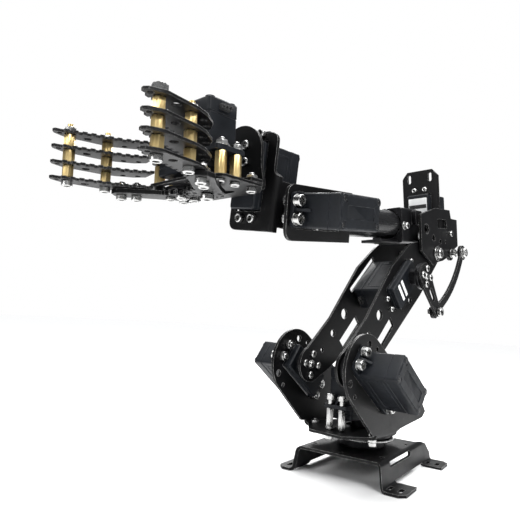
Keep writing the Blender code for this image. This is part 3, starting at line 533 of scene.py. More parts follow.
def turned_metal(name, dark, light, low, high, rings, wear=0.0):
    """Machined metal: fine rings or draw marks, cloudy roughness, stains, rubbed edges and painted
    shade in its recesses.
    """
    n = Nodes(name)
    cloud = n.noise(140, 4)
    marks = n.noise(rings, 2, 0.5, n.stretched(1, 0.06, 1))
    stain = n.ramp(n.noise(260, 4, 0.6), 0.55, 0.8, 0, 0.25)
    colour = n.mix(n.ramp(cloud, 0.3, 0.7), dark, light)
    colour = n.mix(stain, colour, tuple(0.55 * value for value in dark))
    if wear:
        bright_edge = n.times(n.edges(0.0004, 0.82, 0.98), wear)
        colour = n.mix(bright_edge, colour, (0.6, 0.6, 0.59))
    # Painted shade: the colour goes near black in sockets and crevices, where shade falls.
    crevice_shade = n.add("ShaderNodeAmbientOcclusion", {"Distance": 0.002}, samples=4)
    open_to_light = n.ramp(crevice_shade.outputs["AO"], 0.25, 0.75)
    colour = n.mix(open_to_light, tuple(0.08 * value for value in dark), colour)
    rough = n.maths("ADD", n.ramp(cloud, 0.25, 0.75, low, high), n.times(stain, 0.12))
    normal = n.bump(marks, 0.05, 0.00003)
    normal = n.bump(n.noise(900, 3), 0.03, 0.00004, normal)
    return n.finish(colour, rough, 0.8 if wear else 1.0, normal)


def tube_finish():
    n = Nodes("tube_black")
    cloud = n.noise(60, 3)
    lengthways = n.noise(900, 3, 0.6, n.stretched(0.05, 1, 1))
    colour = n.mix(n.ramp(cloud, 0.3, 0.7), (0.006, 0.006, 0.0065), (0.012, 0.012, 0.013))
    colour = n.mix(n.ramp(lengthways, 0.68, 0.76, 0, 0.4), colour, (0.1, 0.1, 0.1))
    rough = n.ramp(lengthways, 0.3, 0.7, 0.22, 0.36)
    return n.finish(colour, rough, 0.2, n.bump(lengthways, 0.08, 0.00006), 0.1, 0.35)


def fine_grained(name, grain, cloud, dark, light, rough, bump):
    """Paper or rubber: a fine grain over slightly uneven colour."""
    n = Nodes(name)
    fine = n.noise(*grain)
    colour = n.mix(n.ramp(n.noise(cloud[0], 3), *cloud[1:]), dark, light)
    return n.finish(colour, n.ramp(fine, 0.3, 0.7, *rough), 0.0, n.bump(fine, *bump))


MATERIALS = {
    "black_sheet": coated_sheet(),
    "servo_black": moulded_plastic(),
    "horn_black": turned_metal(
        "horn_black", (0.008, 0.008, 0.009), (0.016, 0.016, 0.018), 0.28, 0.42, 1600, 0.35),
    "steel": turned_metal("steel", (0.42, 0.42, 0.415), (0.58, 0.58, 0.57), 0.2, 0.34, 1800),
    "brass": turned_metal("brass", (0.72, 0.53, 0.23), (0.84, 0.65, 0.31), 0.3, 0.4, 900),
    "tube_black": tube_finish(),
    "sticker_white": fine_grained(
        "sticker_white", (1500, 4, 0.7), (200, 0.4, 0.7), (0.80, 0.81, 0.81), (0.88, 0.885, 0.88),
        (0.5, 0.62), (0.1, 0.00005)),
    "rubber_grey": fine_grained(
        "rubber_grey", (2200, 3), (150, 0.3, 0.7), (0.014, 0.014, 0.014), (0.03, 0.03, 0.03),
        (0.7, 0.85), (0.3, 0.00008)),
}


# ---- scene pieces

def shown(name, mesh, world, body, material, soften=EDGE):
    """Object with its finish and small rounded edges, riding on a body."""
    item = in_scene(name, mesh)
    item.matrix_world = world
    if not mesh.materials:
        mesh.materials.append(MATERIALS[material])
        mesh.shade_smooth()
        mesh.set_sharp_from_angle(angle=math.radians(32))
    if soften:
        bevel = item.modifiers.new("edges", "BEVEL")
        bevel.width = soften * MM
        bevel.segments = 2
        bevel.limit_method = "ANGLE"
        bevel.angle_limit = math.radians(50)
    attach(item, body)
    return item


def part(name, mesh, where, material="black_sheet", place=None, soften=EDGE):
    """Piece that stands for the CAD node of the same name."""
    world = FRAMES[where] @ place if place is not None else FRAMES[where]
    item = shown(f"fine_{name}", mesh, world, BODY_OF[name], material, soften)
    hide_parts(name)


def stack(rings):
    """Closed solid through rings that have equally many points, in millimetres."""
    work = bmesh.new()
    loops = [[work.verts.new((x * MM, y * MM, z * MM)) for x, y, z in points] for points in rings]
    for low, high in zip(loops, loops[1:]):
        for k, vert in enumerate(low):
            j = (k + 1) % len(low)
            work.faces.new((vert, low[j], high[j], high[k]))
    work.faces.new(loops[0][::-1])
    work.faces.new(loops[-1])
    bmesh.ops.recalc_face_normals(work, faces=work.faces)
    return mesh_from(work, "stack")


def gathered(pieces):
    """One mesh of several (mesh, matrix) pairs."""
    work = bmesh.new()
    for mesh, place in pieces:
        copy = mesh.copy()
        copy.transform(place)
        work.from_mesh(copy)
        bpy.data.meshes.remove(copy)
    return mesh_from(work, "gathered")


def ring_of(radii, z):
    """Ring whose points stand at these radii in turn."""
    step = math.tau / len(radii)
    return [(r * math.cos(step * k), r * math.sin(step * k), z) for k, r in enumerate(radii)]


def rings(count, *rows):
    """Round rings from (radius, height) rows."""
    return [ring_of([radius] * count, z) for radius, z in rows]


def hexagon(flat, z, count=24):
    """Hexagonal ring with this distance from its centre to a flat."""
    sixth = math.pi / 3
    offs = [(math.tau * k / count + sixth / 2) % sixth - sixth / 2 for k in range(count)]
    return ring_of([flat / math.cos(off) for off in offs], z)


def socket_head(radius, height, flat):
    """Knurled cap screw head, standing up from z = 0, with a hexagonal socket."""
    n = 48
    knurl = [radius, radius - 0.04] * (n // 2)
    return stack([
        *rings(n, (radius - 0.2, 0)), ring_of(knurl, 0.2), ring_of(knurl, height - 0.5),
        *rings(n, (radius - 0.12, height - 0.35), (radius - 0.45, height), (flat + 0.5, height)),
        hexagon(flat, height - 0.15, n), hexagon(flat, height * 0.25, n),
        *rings(n, (0.2, height * 0.2))])


def button_head(radius, height):
    """Low domed screw head with a cross recess."""
    cross = [radius * share for share in (0.62, 0.34, 0.18, 0.18, 0.18, 0.34)] * 4
    return stack([
        *rings(24, (radius, 0), (radius, height * 0.3), (radius * 0.9, height * 0.7),
               (radius * 0.7, height)),
        ring_of([1.05 * reach for reach in cross], height),
        ring_of([0.7 * reach for reach in cross], height * 0.45)])


def nut(flat, height, stud=1.5, tip=1.2):
    """Hexagonal nut with the threaded end of its stud standing out."""
    start, length = height - 0.3, tip + 0.3
    turns = max(1, round(length / 0.5))
    step = length / turns
    shape = [*rings(24, (flat, 0)), hexagon(flat, 0.25), hexagon(flat, start)]
    shape += rings(24, (flat * 0.99, height), (stud + 0.3, height), (stud + 0.05, start))
    for k in range(turns):
        low = start + step * k
        shape += rings(24, (stud - 0.18, low + 0.05), (stud, low + step * 0.5),
                       (stud - 0.18, low + step))
    return stack(shape + rings(24, (stud - 0.4, height + tip + 0.05)))


def spacer(flat, height):
    return stack([
        *rings(24, (flat * 0.8, 0), (flat, 0)), hexagon(flat, 0.3), hexagon(flat, height - 0.3),
        *rings(24, (flat, height), (flat * 0.8, height))])


def disc(radius, height):
    return stack(rings(32, (radius - 0.1, 0), (radius, 0.1), (radius, height - 0.1),
                       (radius - 0.1, height)))


TOWARDS = {
    "X": Vector((1, 0, 0)), "-X": Vector((-1, 0, 0)), "Y": Vector((0, 1, 0)),
    "-Y": Vector((0, -1, 0)), "Z": Vector((0, 0, 1)), "-Z": Vector((0, 0, -1)),
}


def spot(x, y, z, towards="Z", spin=0.0):
    """Local place of a fastener whose head stands out in a direction."""
    turn = TOWARDS[towards].to_track_quat("Z", "Y").to_matrix().to_4x4()
    return moved_by(x, y, z) @ turn @ Matrix.Rotation(spin, 4, "Z")


def threaded(axis, *rows):
    """One mesh of round pieces on an axis: each a mesh, its height, and "-" if it faces back."""
    pieces = []
    for mesh, height, *back in rows:
        at = [height if axis == letter else 0 for letter in "XYZ"]
        pieces.append((mesh, spot(*at, "".join(back) + axis)))
    return gathered(pieces)


M4_HEAD = socket_head(3.4, 3.6, 1.8)
M3_HEAD = socket_head(2.7, 2.9, 1.4)
M3_LOW = socket_head(2.6, 1.9, 1.35)
M3_SMALL = socket_head(2.15, 2.2, 1.0)
M2_HEAD = button_head(1.7, 0.9)
M3_BUTTON = button_head(2.6, 1.5)
M3_NUT = nut(2.7, 2.3)
WASHER = disc(3.6, 0.5)
LOTS = {}


def fasten(where, place, mesh, material="steel"):
    """Adds a small piece to the lot of its body and finish."""
    body = BODY_OF_FRAME.get(where, where)
    LOTS.setdefault((body, material), []).append((mesh, FRAMES[where] @ place))


def fasten_all(where, *rows, place=Matrix.Identity(4)):
    """Fastens rows of a mesh and its spot's values."""
    for mesh, *at in rows:
        fasten(where, place @ spot(*at), mesh)


def finish_lots():
    for (body, material), pieces in sorted(LOTS.items(), key=lambda lot: lot[0]):
        name = f"{body}_{material}_fittings"
        item = shown(name, gathered(pieces), Matrix.Identity(4), body, material, 0)


# ---- servo

def case_ring(inset, z):
    half = CASE_HALF - inset
    plan = rectangle(CASE_NEAR + inset, -half, CASE_FAR - inset, half)
    return [(x, y, z) for x, y in softened(plan, 1.5)]


def servo_case():
    """Servo in three moulded parts with seams, ribs under the flange and a toothed shaft."""
    pieces = [stack([case_ring(*row) for row in (
        (1.0, SERVO_BACK + 0.4), (0.2, SERVO_BACK + 1.1), (0.2, -20.8), (0.6, -20.6), (0.6, -20.2),
        (0.3, -20.0), (0.3, 3.4), (0.6, 3.6), (0.6, 3.9), (0.15, 4.1), (0.15, 7.3),
        (0.8, SERVO_TOP))])]
    middle, reach, half = (CASE_NEAR + CASE_FAR) / 2, SERVO_FLANGE / 2, CASE_HALF - 0.2
    holes = circles(*((x, y, 2.1, 30) for x, y in SERVO_HOLES))
    flange = softened(rectangle(middle - reach, -half, middle + reach, half), 2.0)
    pieces.append(prism(flange, -SERVO_FLANGE_THICK, 0, "Z", holes))
    for x, way in ((CASE_FAR, 1), (CASE_NEAR, -1)):
        rib = [(x - way, -2), (x + way * 5.2, -2), (x + way * 5.2, -3.2), (x + way * 0.6, -8.8),
               (x - way, -8.8)]
        pieces.append(prism(rib, -0.8, 0.8, "Y"))
    frame_outer = softened(rectangle(-5.5, -17.6, 25.5, -5.0), 1.2)
    frame_inner = softened(rectangle(-4.6, -16.7, 24.6, -5.9), 0.8)
    for side in (-1, 1):
        levels = sorted((side * 9.6, side * 9.95))
        pieces.append(prism(frame_outer, *levels, "Y", [frame_inner]))
    right = [(24.4, -8.6), (24.4, -4.6), (28.6, -4.6), (28.6, 4.6), (24.4, 4.6), (24.4, 8.6)]
    border = softened([(-4.4, -8.6), *right, (-4.4, 8.6), (-4.4, 4.6), (-8.6, 4.6), (-8.6, -4.6),
                       (-4.4, -4.6)], 0.8)
    panel = softened(rectangle(-3.4, -3.6, 23.4, 3.6), 1.0)
    pieces.append(prism(border, SERVO_BACK, SERVO_BACK + 0.7, "Z", [panel]))
    for x, y in COVER_SCREWS:
        ring = disc(2.5, 0.5)
        ring.transform(moved_by(x, y, SERVO_BACK + 0.05))
        pieces.append(ring)
    boss = ((0, -1), (6.6, -1), (6.4, 0.15), (4.2, 0.2), (0, 0.2))
    pieces.append(turned([(radius, SERVO_TOP + height) for radius, height in boss]))
    teeth = [SPLINE_RADIUS - 0.02, SPLINE_RADIUS - 0.32] * 25
    tip = SERVO_TOP + SPLINE_HIGH - 0.1
    pieces.append(stack([ring_of(teeth, z) for z in (SERVO_TOP, tip)]))
    return gathered([(mesh, Matrix.Identity(4)) for mesh in pieces])


def servo(name, where, place, heads=None):
    """Servo with its cover screws and cable boot; heads says which flange screws it has."""
    part(name, SERVO_CASE, where, "servo_black", place, SERVO_EDGE)
    for x, y in COVER_SCREWS:
        fasten(where, place @ spot(x, y, SERVO_BACK + 0.75, "-Z", 0.3 * x), M2_HEAD, "horn_black")
    boot = prism(softened(rectangle(-3.4, -25.2, 3.4, -22.2), 0.8), 29.5, 32.2, "X")
    fasten(where, place, boot, "rubber_grey")
    for k, y in enumerate((-2.1, 0, 2.1)):
        wire = prism(circle(y, -23.7, 0.75, 30), 32, 34.0 - 0.3 * k, "X")
        fasten(where, place, wire, "rubber_grey")
    front, back = GAP + SHEET, -SERVO_FLANGE_THICK
    for x, y in SERVO_HOLES:
        spin = 0.7 * SERVO_HOLE_X.index(x) + 0.2 * y
        if heads == "back":
            rows = ((WASHER, x, y, back, "-Z", spin), (M4_HEAD, x, y, back - 0.5, "-Z", spin),
                    (nut(3.2, 2.6, 1.9, 0.9), x, y, front, "Z", spin))
        elif heads in ("front", "small"):
            rows = ((M3_HEAD if heads == "front" else M3_SMALL, x, y, front, "Z", spin),
                    (nut(2.8, 2.3, 1.5, 0.9), x, y, back, "-Z", spin))
        else:
            rows = ()
        fasten_all(where, *rows, place=place)


def horn_screws(where, x, y, z, towards, reach=7.0, angles=(45, 135, 225, 315)):
    """Screws on a horn's bolt circle and the one in its middle; angles in degrees."""
    for angle in map(math.radians, angles):
        a, b = reach * math.cos(angle), reach * math.sin(angle)
        across = {"X": (x, y + a, z + b), "Y": (x + a, y, z + b), "Z": (x + a, y + b, z)}
        fasten(where, spot(*across[towards[-1]], towards, angle), M3_LOW)
    fasten_all(where, (disc(3.2, 0.6), x, y, z, towards), (M3_BUTTON, x, y, z, towards, 0.4))


def servo_openings(x, y, angle):
    """Outlines of the hole that a servo's case top sits in and of its four bolt holes."""
    half = CASE_HALF + 0.5
    window = placed(rectangle(CASE_NEAR - 0.5, -half, CASE_FAR + 0.5, half), x, y, angle)
    bolts = placed(SERVO_HOLES, x, y, angle)
    return [window, *circles(*((a, b, 2.1) for a, b in bolts))]


@cache
def horn_mesh(length, disc_radius=10.0, disc_thick=2.4, hub_radius=5.5):
    """Round horn over the spline, from just above the case top to its disc at the far end."""
    bore, rear = SPLINE_RADIUS + GAP, length - disc_thick
    shape = [(bore, 0), (hub_radius, 0), (hub_radius, rear), (disc_radius, rear),
             (disc_radius, length)]
    if length < SPLINE_HIGH:
        return turned([*shape, (bore, length)], 40)
    return turned([(0, SPLINE_HIGH), (bore, SPLINE_HIGH), *shape, (0, length)], 40)


def horn(name, where, place, *sizes):
    part(name, horn_mesh(*sizes), where, "horn_black", place)


# ---- base and turntable

def base_bracket():
    top, foot, half = BASE_TOP - SHEET / 2, SHEET / 2, 30.5
    left, right = FOOT_TIPS
    shape = bent([(right, foot), (right + 12, foot), (-half, top), (half, top), (left - 15.5, foot),
                  (left, foot)], 2.5, -70, 60, "X")
    plan = [(FOOT_FRONT, 50), (FOOT_FRONT, 35), (41, 29), (41, -29), (FOOT_FRONT, -35),
            (FOOT_FRONT, -50), (FOOT_REAR, -50), (FOOT_REAR, -33), (-50, -31), (-41, -28),
            (-41, 28), (-50, 31), (FOOT_REAR, 33), (FOOT_REAR, 50)]
    corners = []
    for x, y in product((FOOT_REAR, FOOT_FRONT), FOOT_TIPS):
        fore, out = math.copysign(1, x), math.copysign(1, y)
        corner = [(x + fore, y + out), (x - 5 * fore, y + out), (x + fore, y - 5 * out)]
        corners.append(prism(corner, -1, 4))
    arch = prism([(-42, -2), (23, -2), (20.5, 2.8), (-39.5, 2.8)], -PAST, PAST, "Y")
    reliefs = two_sided(slot(5, 13.9, 43, 3.6), 28.4, PAST)
    through = []
    for width, *rows in ((3.4, right + 5.5, left - 5.5), (2.6, right + 9.6, left - 12.6)):
        through += [slot(x, y, 9, width) for x, y in product((-48, 36.5), rows)]
    through += circles((0, 0, 5, 30), *((x, y, 1.7) for y, x in product((25.5, -25.5), repeat=2)),
                       (36, 0, 1.7), (-36, 0, 1.7))
    return cut(shape, outside(plan, -5, 40, "Z"), *corners, arch, *reliefs,
               *prisms(through, -5, 40))


def bearing_races():
    """Fixed race with a flange at its top, and the turning race above it."""
    low, split, neck = BASE_TOP + GAP, RING_SPLIT, RING_OUTER - 4.5
    fixed = [(RING_BORE, low), (neck, low), (neck, split - 2.2), (RING_OUTER, split - 1.8),
             (RING_OUTER, split), (RING_BORE, split)]
    low, high, side = split + GAP, DECK_LOW - GAP, RING_OUTER - 1.5
    return turned(fixed), turned([(RING_BORE, low), (side, low), (side, high), (RING_BORE, high)])


def yaw_hub():
    """Hub on the foot plate that the yaw servo's spline grips, up through the bearing."""
    low, high, bore = BASE_TOP + GAP, DECK_LOW + 8.7, SPLINE_RADIUS + GAP
    floor = high - SPLINE_HIGH - 0.2
    return turned([(0, low), (12, low), (12, low + 3), (8.5, low + 5), (8.5, high), (bore, high),
                   (bore, floor), (0, floor)], 40)


def turntable_bracket():
    """Floor plate with two ears bent up; each ear ends in a disc about the shoulder axis."""
    wall, floor = EAR_OUTER - SHEET / 2, DECK_LOW + SHEET / 2
    shape = bent([(-wall, 104), (-wall, floor), (wall, floor), (wall, 104)], 3, -45, 74, "X")
    ear = [(-35, 38.8), (4, 33.5), (4, 26), (31.2, 26), (35.2, 32.2), (54.9, 49.8),
           *arc(*SHOULDER, 24.5, -42, 123.4, 42), (-22, 58), (-36, 48), (-40, 43)]
    half = [(47, 14), (31.2, 26.8), (31.2, 45), (4, 45), (4, 27), (-24, 19), (-32, 10)]
    plan = half + [(x, -y) for x, y in reversed(half)]
    openings = servo_openings(*SHOULDER, math.pi + SHOULDER_SERVO_DROP)
    openings += circles((44.1, 93.2, 2.4, 30), (34.1, 90, 1.6, 30), (65.5, 68.5, 2.4, 30),
                        (60, 60, 1.6, 30))
    floor_holes = circles((0, 0, 12, 48), (26, -24.5, 1.7), (26, 24.5, 1.7))
    floor_holes += [slot(-26, y, 9, 3, 90) for y in (-10, 10)]
    return cut(shape, outside(ear, 26.4, 40, "Y"), outside(ear, -40, -26.4, "Y"),
               outside(plan, 20, 33, "Z"), *prisms(openings, -PAST, PAST, "Y"),
               *prisms(floor_holes, 20, 40))


def build_base():
    part("base_bracket", base_bracket(), "base")
    fixed, turning = bearing_races()
    part("yaw_bearing_lower_ring", fixed, "base", "horn_black")
    part("yaw_hub", yaw_hub(), "base", "horn_black")
    part("yaw_bearing_upper_ring", turning, "turntable", "horn_black")
    part("turntable_bracket", turntable_bracket(), "turntable")
    build_yaw_servo()
    x, z = SHOULDER
    along = (-math.cos(SHOULDER_SERVO_DROP), 0, -math.sin(SHOULDER_SERVO_DROP))
    for side, name in SIDES:
        place = place_of((x, side * (EAR_OUTER + GAP), z), (0, -side, 0), along)
        servo(f"shoulder_servo_{name}", "turntable", place, "back")
    rim = ((-0.6, -1.4), (0.5, -1.4), (0.8, -0.9), (0.8, -0.5), (0.5, 0), (-0.6, 0))
    rim = turned([(RING_OUTER + out, RING_SPLIT + up) for out, up in rim], 96)
    fasten("base", Matrix.Identity(4), rim)
    for x, y in ((26, 24.5), (26, -24.5), (34.75, -5)):
        fasten_all("turntable", (nut(2.7, 2.2), x, y, DECK_LOW + SHEET, "Z", x + y),
                   (spacer(2.7, 2.2), x, y, DECK_LOW, "-Z"),
                   (M3_HEAD, x, y, DECK_LOW - 2.2, "-Z", x))


def build_yaw_servo():
    """Yaw servo hung shaft down on four hexagonal posts, with cap screws on top of its flange."""
    place = place_of((0, 0, YAW_FLANGE), (0, 0, -1), (1, 0, 0))
    servo("yaw_servo", "turntable", place)
    post = spacer(2.2, YAW_FLANGE - DECK_LOW - SHEET - GAP)
    flange = -SERVO_FLANGE_THICK
    for x, y in SERVO_HOLES:
        fasten("turntable", place @ moved_by(x, y, 0), post)
        fasten_all("turntable", (disc(1.9, 3.2), x, y, flange, "-Z"),
                   (M4_HEAD, x, y, flange - 3.2, "-Z", x), place=place)


# ---- upper arm and linkage

def arm_plate(side):
    """Side plate of the upper arm; the left one also holds the elbow servo."""
    outline = [*arc(0, 0, 12.5, 16, -172, 36), (-16, 16), (-19.4, 46), (-17, 118),
               *arc(0, ARM_LENGTH, 12, 176, 24, 30), (26.8, 130), (27.2, 122), (27, 92),
               (18.8, 56), (14.6, 38)]
    openings = circles((0.4, 16, 1.8, 30), (2.9, 33.9, 2.7, 36), (6.4, 54.6, 4, 32))
    openings.append([(-3.9, 66.8), (-12.2, 67.6), (-15.3, 39.4), (-7.2, 37.9)])
    openings += circles((0, 0, 3.4, 36), (0, ARM_LENGTH, 2.4, 36), (-10.5, 100.8, 2.4, 36))
    openings += bolt_circle(7.5, 1.5)
    angle = -math.pi / 2 - ELBOW_SERVO_TILT
    if side > 0:
        openings += servo_openings(*ELBOW_SERVO, angle)
    else:
        slit = softened(rectangle(-13, 8, 31.6, 12.2), 1, steps=3)
        openings.append(placed(slit, *ELBOW_SERVO, angle))
    return prism(outline, *sorted((side * ARM_OUTER, side * ARM_INNER)), "Y", openings)


def crank_reach():
    """Crank pin from the elbow servo's shaft: along, up, distance and angle."""
    x, z = CRANK_PIN[0] - ELBOW_SERVO[0], CRANK_PIN[1] - ELBOW_SERVO[1]
    return x, z, math.hypot(x, z), math.atan2(z, x)


def crank_plate():
    *_, length, angle = crank_reach()
    shape = softened([(-8, -8.5), (3, -8.5), (length - 4, -5), (length + 1, -5), (length + 5, 0),
                      (length + 1, 5), (length - 4, 5), (3, 8.5), (-8, 8.5), (-10.5, 0)], 3)
    holes = [*circles((0, 0, 2, 30), (length, 0, 2.3, 36)), slot(18, 0, 12, 4.4)]
    holes += bolt_circle(6.2, 1.2, angles=(0.8, 2.4, 3.9, 5.5))
    shape, *holes = (placed(points, 0, 0, angle) for points in (shape, *holes))
    return prism(shape, CRANK_FACE, CRANK_FACE + SHEET, "Y", holes)


def elbow_link():
    """Curved flat link with a round eye at each end, from the crank pin to the lever pin."""
    end = Vector((LEVER_PIN[0] - CRANK_PIN[0], LEVER_PIN[1] - CRANK_PIN[1]))
    across = Vector((-end.y, end.x)).normalized() * LINK_BULGE
    shares = [0.01 + 0.98 * k / 10 for k in range(11)]
    path = [tuple(end * t + across * 4 * t * (1 - t)) for t in shares]
    bar = prism(strip(path, 6.4), LINK_FACE + 0.3, LINK_FACE + 2.3, "Y")
    eyes = prisms(circles((0, 0, 5.4, 40), (*end, 6.6, 40)), LINK_FACE, LINK_FACE + 2.6, "Y")
    drills = prisms(circles((0, 0, 2.3, 32), (*end, 3.5, 32)), LINK_FACE - 3, LINK_FACE + 6, "Y")
    return cut(joined(bar, *eyes), *drills)


def elbow_servo_place():
    tilt = ELBOW_SERVO_TILT
    along = (-math.sin(tilt), 0, -math.cos(tilt))
    return place_of((ELBOW_SERVO[0], ARM_INNER - GAP, ELBOW_SERVO[1]), (0, 1, 0), along)


def build_upper_arm():
    for side, name in SIDES:
        place = place_of((0, side * (EAR_OUTER - SERVO_TOP), 0), (0, -side, 0))
        horn(f"shoulder_horn_{name}", "upper_arm", place, 6.25)
        part(f"upper_arm_plate_{name}", arm_plate(side), "upper_arm")
    servo("elbow_servo", "upper_arm", elbow_servo_place(), "small")
    for side in (-1, 1):
        inward = "-Y" if side > 0 else "Y"
        horn_screws("upper_arm", 0, side * ARM_INNER, 0, inward, 7.5)
    for side, name in SIDES:
        bolt = threaded("Y", (nut(3.4, 3.0, 1.9, 0.5), 14.3, "-"), (disc(2, 8), 14),
                        (disc(5, 1.2), 16.85), (disc(6.5, 0.95), 20.7),
                        (socket_head(4.3, 3.3, 1.9), 21.65))
        if side < 0:
            bolt.transform(Matrix.Rotation(math.pi, 4, "Z"))
        place = moved_by(0, 0, ARM_LENGTH)
        part(f"elbow_pivot_bolt_{name}", bolt, "upper_arm", "steel", place, 0)


def build_linkage():
    top = ARM_INNER + SERVO_TOP
    place = place_of((0, top, 0), (0, 1, 0))
    horn("elbow_horn", "crank", place, CRANK_FACE - GAP - top, 10.2, 2.6, 6.5)
    part("elbow_crank", crank_plate(), "crank")
    part("elbow_link", elbow_link(), "link")
    x, z, _, angle = crank_reach()
    angles = [math.degrees(angle) + offset for offset in (46, 137, 223, 315)]
    horn_screws("crank", 0, CRANK_FACE + SHEET, 0, "Y", 6.2, angles)
    pin = threaded("Y", (nut(3.0, 2.5, 1.9, 0.4), 28.7, "-"), (disc(2, 6), 28.6),
                   (socket_head(3.5, 2.9, 1.5), 34.5))
    part("elbow_crank_pin", pin, "crank", "steel", moved_by(x, 0, z), 0)
    pin = threaded("Y", (disc(3.2, 1.0), 17.1), (disc(1.4, 14), 17.5), (disc(4.3, 1.2), 20.75),
                   (spacer(3.4, 3), 21.95), (disc(2, 7), 24.9), (disc(5, 0.7), 31.35),
                   (nut(3.5, 2.6, 1.9, 0.45), 32.05))
    part("elbow_lever_pin", pin, "elbow", "steel", moved_by(-LEVER_REACH, 0, 0), 0)


# ---- elbow and forearm

def elbow_bracket():
    """Two side plates joined by a rear web; the elbow axis is at the origin."""
    wall, rear = ELBOW_OUTER - SHEET / 2, -48.2
    shape = bent([(40, -wall), (rear, -wall), (rear, wall), (40, wall)], 2.5, -20, 45, "Z")
    outline = [(8, -10.5), (28.5, 2.2), (28, 33), (-1, 40), (-31, 40), (-33.2, 32.3), (-52, 31.5),
               (-52, 9), (-39.4, 4.5), *arc(-LEVER_REACH, 0, 6.5, 200, 330, 18), (-12, -6.5),
               (1, -8)]
    holes = circles((0, 0, 2.4, 36), (18.3, 20.8, 4.5, 32), (5.2, 13.3, 2.8, 36),
                    (-8.5, 10.4, 2.2, 36), (-18.6, 10.5, 1.7), (-LEVER_REACH, 0, 1.7),
                    (-28, 18, 1.7))
    holes.append(softened([(-4.5, 22.5), (-3.5, 30.5), (-22, 30.5), (-24, 22.5)], 1.5))
    web = softened(rectangle(-15, 12, 15, 26), 2)
    return cut(shape, outside(outline, -40, 40, "Y"), *prisms(holes, -40, 40, "Y"),
               prism(web, -60, -40, "X"))


def roll_mount_plate():
    """Upright plate that the forearm roll servo hangs on, with two bolt tabs bent back."""
    wall = 17.1
    shape = bent([(-33, -wall), (-16, -wall), (-16, wall), (-33, wall)], 2, 9, 78, "Z")
    tabs = two_sided(rectangle(-40, 36, -17.2, 90), 14, 20)
    trim = [(25, 90), (11, 90), (11, 79), (17.6, 71.5), (17.6, 36), (25, 36)]
    holes = servo_openings(0, TUBE_RISE, math.pi / 2)
    holes += [slot(side * 10, 71, 8, 3, 90) for side in (-1, 1)]
    trims = [[(side * y, z) for y, z in trim] for side in (-1, 1)]
    return cut(shape, *tabs, *prisms(trims, -30, 0, "X"), *prisms(holes, -30, 0, "X"),
               prism(circle(-28, 18, 1.7), -30, 30, "Y"))


def bearing_block():
    """Block that the forearm tube turns in, with bosses to the sides and a lip under the tube."""
    rise = TUBE_RISE
    body = prism(softened(rectangle(-14, 9.2, 14, rise + 13), 2.5), 21, 49, "X")
    bosses = two_sided(softened(rectangle(21.4, 24.4, 32.5, 36), 1, steps=3), 12.5, 18.1)
    lip = prism(softened(rectangle(-9, 9.4, 9, 11.8), 0.4, steps=3), 47, 75, "X")
    bore = circle(0, rise, TUBE_RADIUS + 0.4, 64)
    split = rectangle(-0.8, rise + 5, 0.8, rise + 20)
    return cut(joined(body, *bosses, lip), *prisms((bore, split), 10, 60, "X"))


def forearm_tube():
    start, end = TUBE_ENDS
    inner = TUBE_RADIUS - TUBE_WALL
    return turned([(TUBE_RADIUS, start), (TUBE_RADIUS, end), (inner, end), (inner, start)], 56, "X")


def tube_coupler(face, depth):
    """Flanged plug in a tube end; depth may run backwards."""
    plug = TUBE_RADIUS - TUBE_WALL - GAP
    step = face + math.copysign(3.2, depth)
    return turned([(0, face), (TUBE_RADIUS, face), (TUBE_RADIUS, step), (plug, step),
                   (plug, face + depth), (0, face + depth)], 40, "X")


def wrist_bracket():
    """Rear plate across the tube's end and a side plate that holds the wrist pitch servo."""
    side = PITCH_FACE - SHEET / 2
    shape = bent([(153, -15), (153, side), (217, side)], 3, -19, 19, "Z")
    face = softened(rectangle(140, -15.5, 217, 16), 6)
    rear = softened(rectangle(-15, -15.5, 40, 16), 6)
    rib = prism(rectangle(161, 29, 207, 33.6), -15.4, -13.6)
    bolts = circles((7, 7, 1.5), (-7, 7, 1.5), (7, -7, 1.5), (-7, -7, 1.5), (0, 0, 3, 36))
    return cut(joined(shape, rib), outside(face, 25, 40, "Y"), outside(rear, 140, 157, "X"),
               *prisms(servo_openings(*PITCH_AXIS, math.pi), 25, 40, "Y"),
               *prisms(bolts, 140, 160, "X"))


def build_forearm():
    part("elbow_bracket", elbow_bracket(), "elbow")
    part("roll_mount_plate", roll_mount_plate(), "elbow")
    face, top = ROLL_FLANGE - GAP, ROLL_FLANGE + SERVO_TOP
    servo("forearm_roll_servo", "elbow", place_of((face, 0, TUBE_RISE), (1, 0, 0)), "small")
    part("bearing_block", bearing_block(), "elbow", "horn_black")
    horn("forearm_roll_horn", "forearm", place_of((top, 0, 0), (1, 0, 0)), 6.2)
    for end, face, depth in (("rear", top + 6.2 + GAP, 14), ("front", 152 - GAP, -14)):
        part(f"tube_{end}_coupler", tube_coupler(face, depth), "forearm", "horn_black")
    part("forearm_tube", forearm_tube(), "forearm", "tube_black")
    part("wrist_bracket", wrist_bracket(), "forearm")
    x, z = PITCH_AXIS
    place = place_of((x, PITCH_FACE + GAP, z), (0, -1, 0), (-1, 0, 0))
    servo("wrist_pitch_servo", "forearm", place, "back")
    for side, outward in ((-1, "-Y"), (1, "Y")):
        fasten_all("elbow", (M3_HEAD, -28, side * ELBOW_OUTER, 18, outward),
                   (WASHER, 45.2, side * 14, 22.8, outward),
                   (M3_HEAD, 45.2, side * 14.5, 22.8, outward))
    for y, z in product((-7, 7), (-7, 7)):
        fasten("forearm", spot(154, y, z, "X", y * z), M3_LOW)
    fasten("forearm", spot(154, 0, 0, "X"), disc(3.6, 0.8))


# ---- hand and gripper

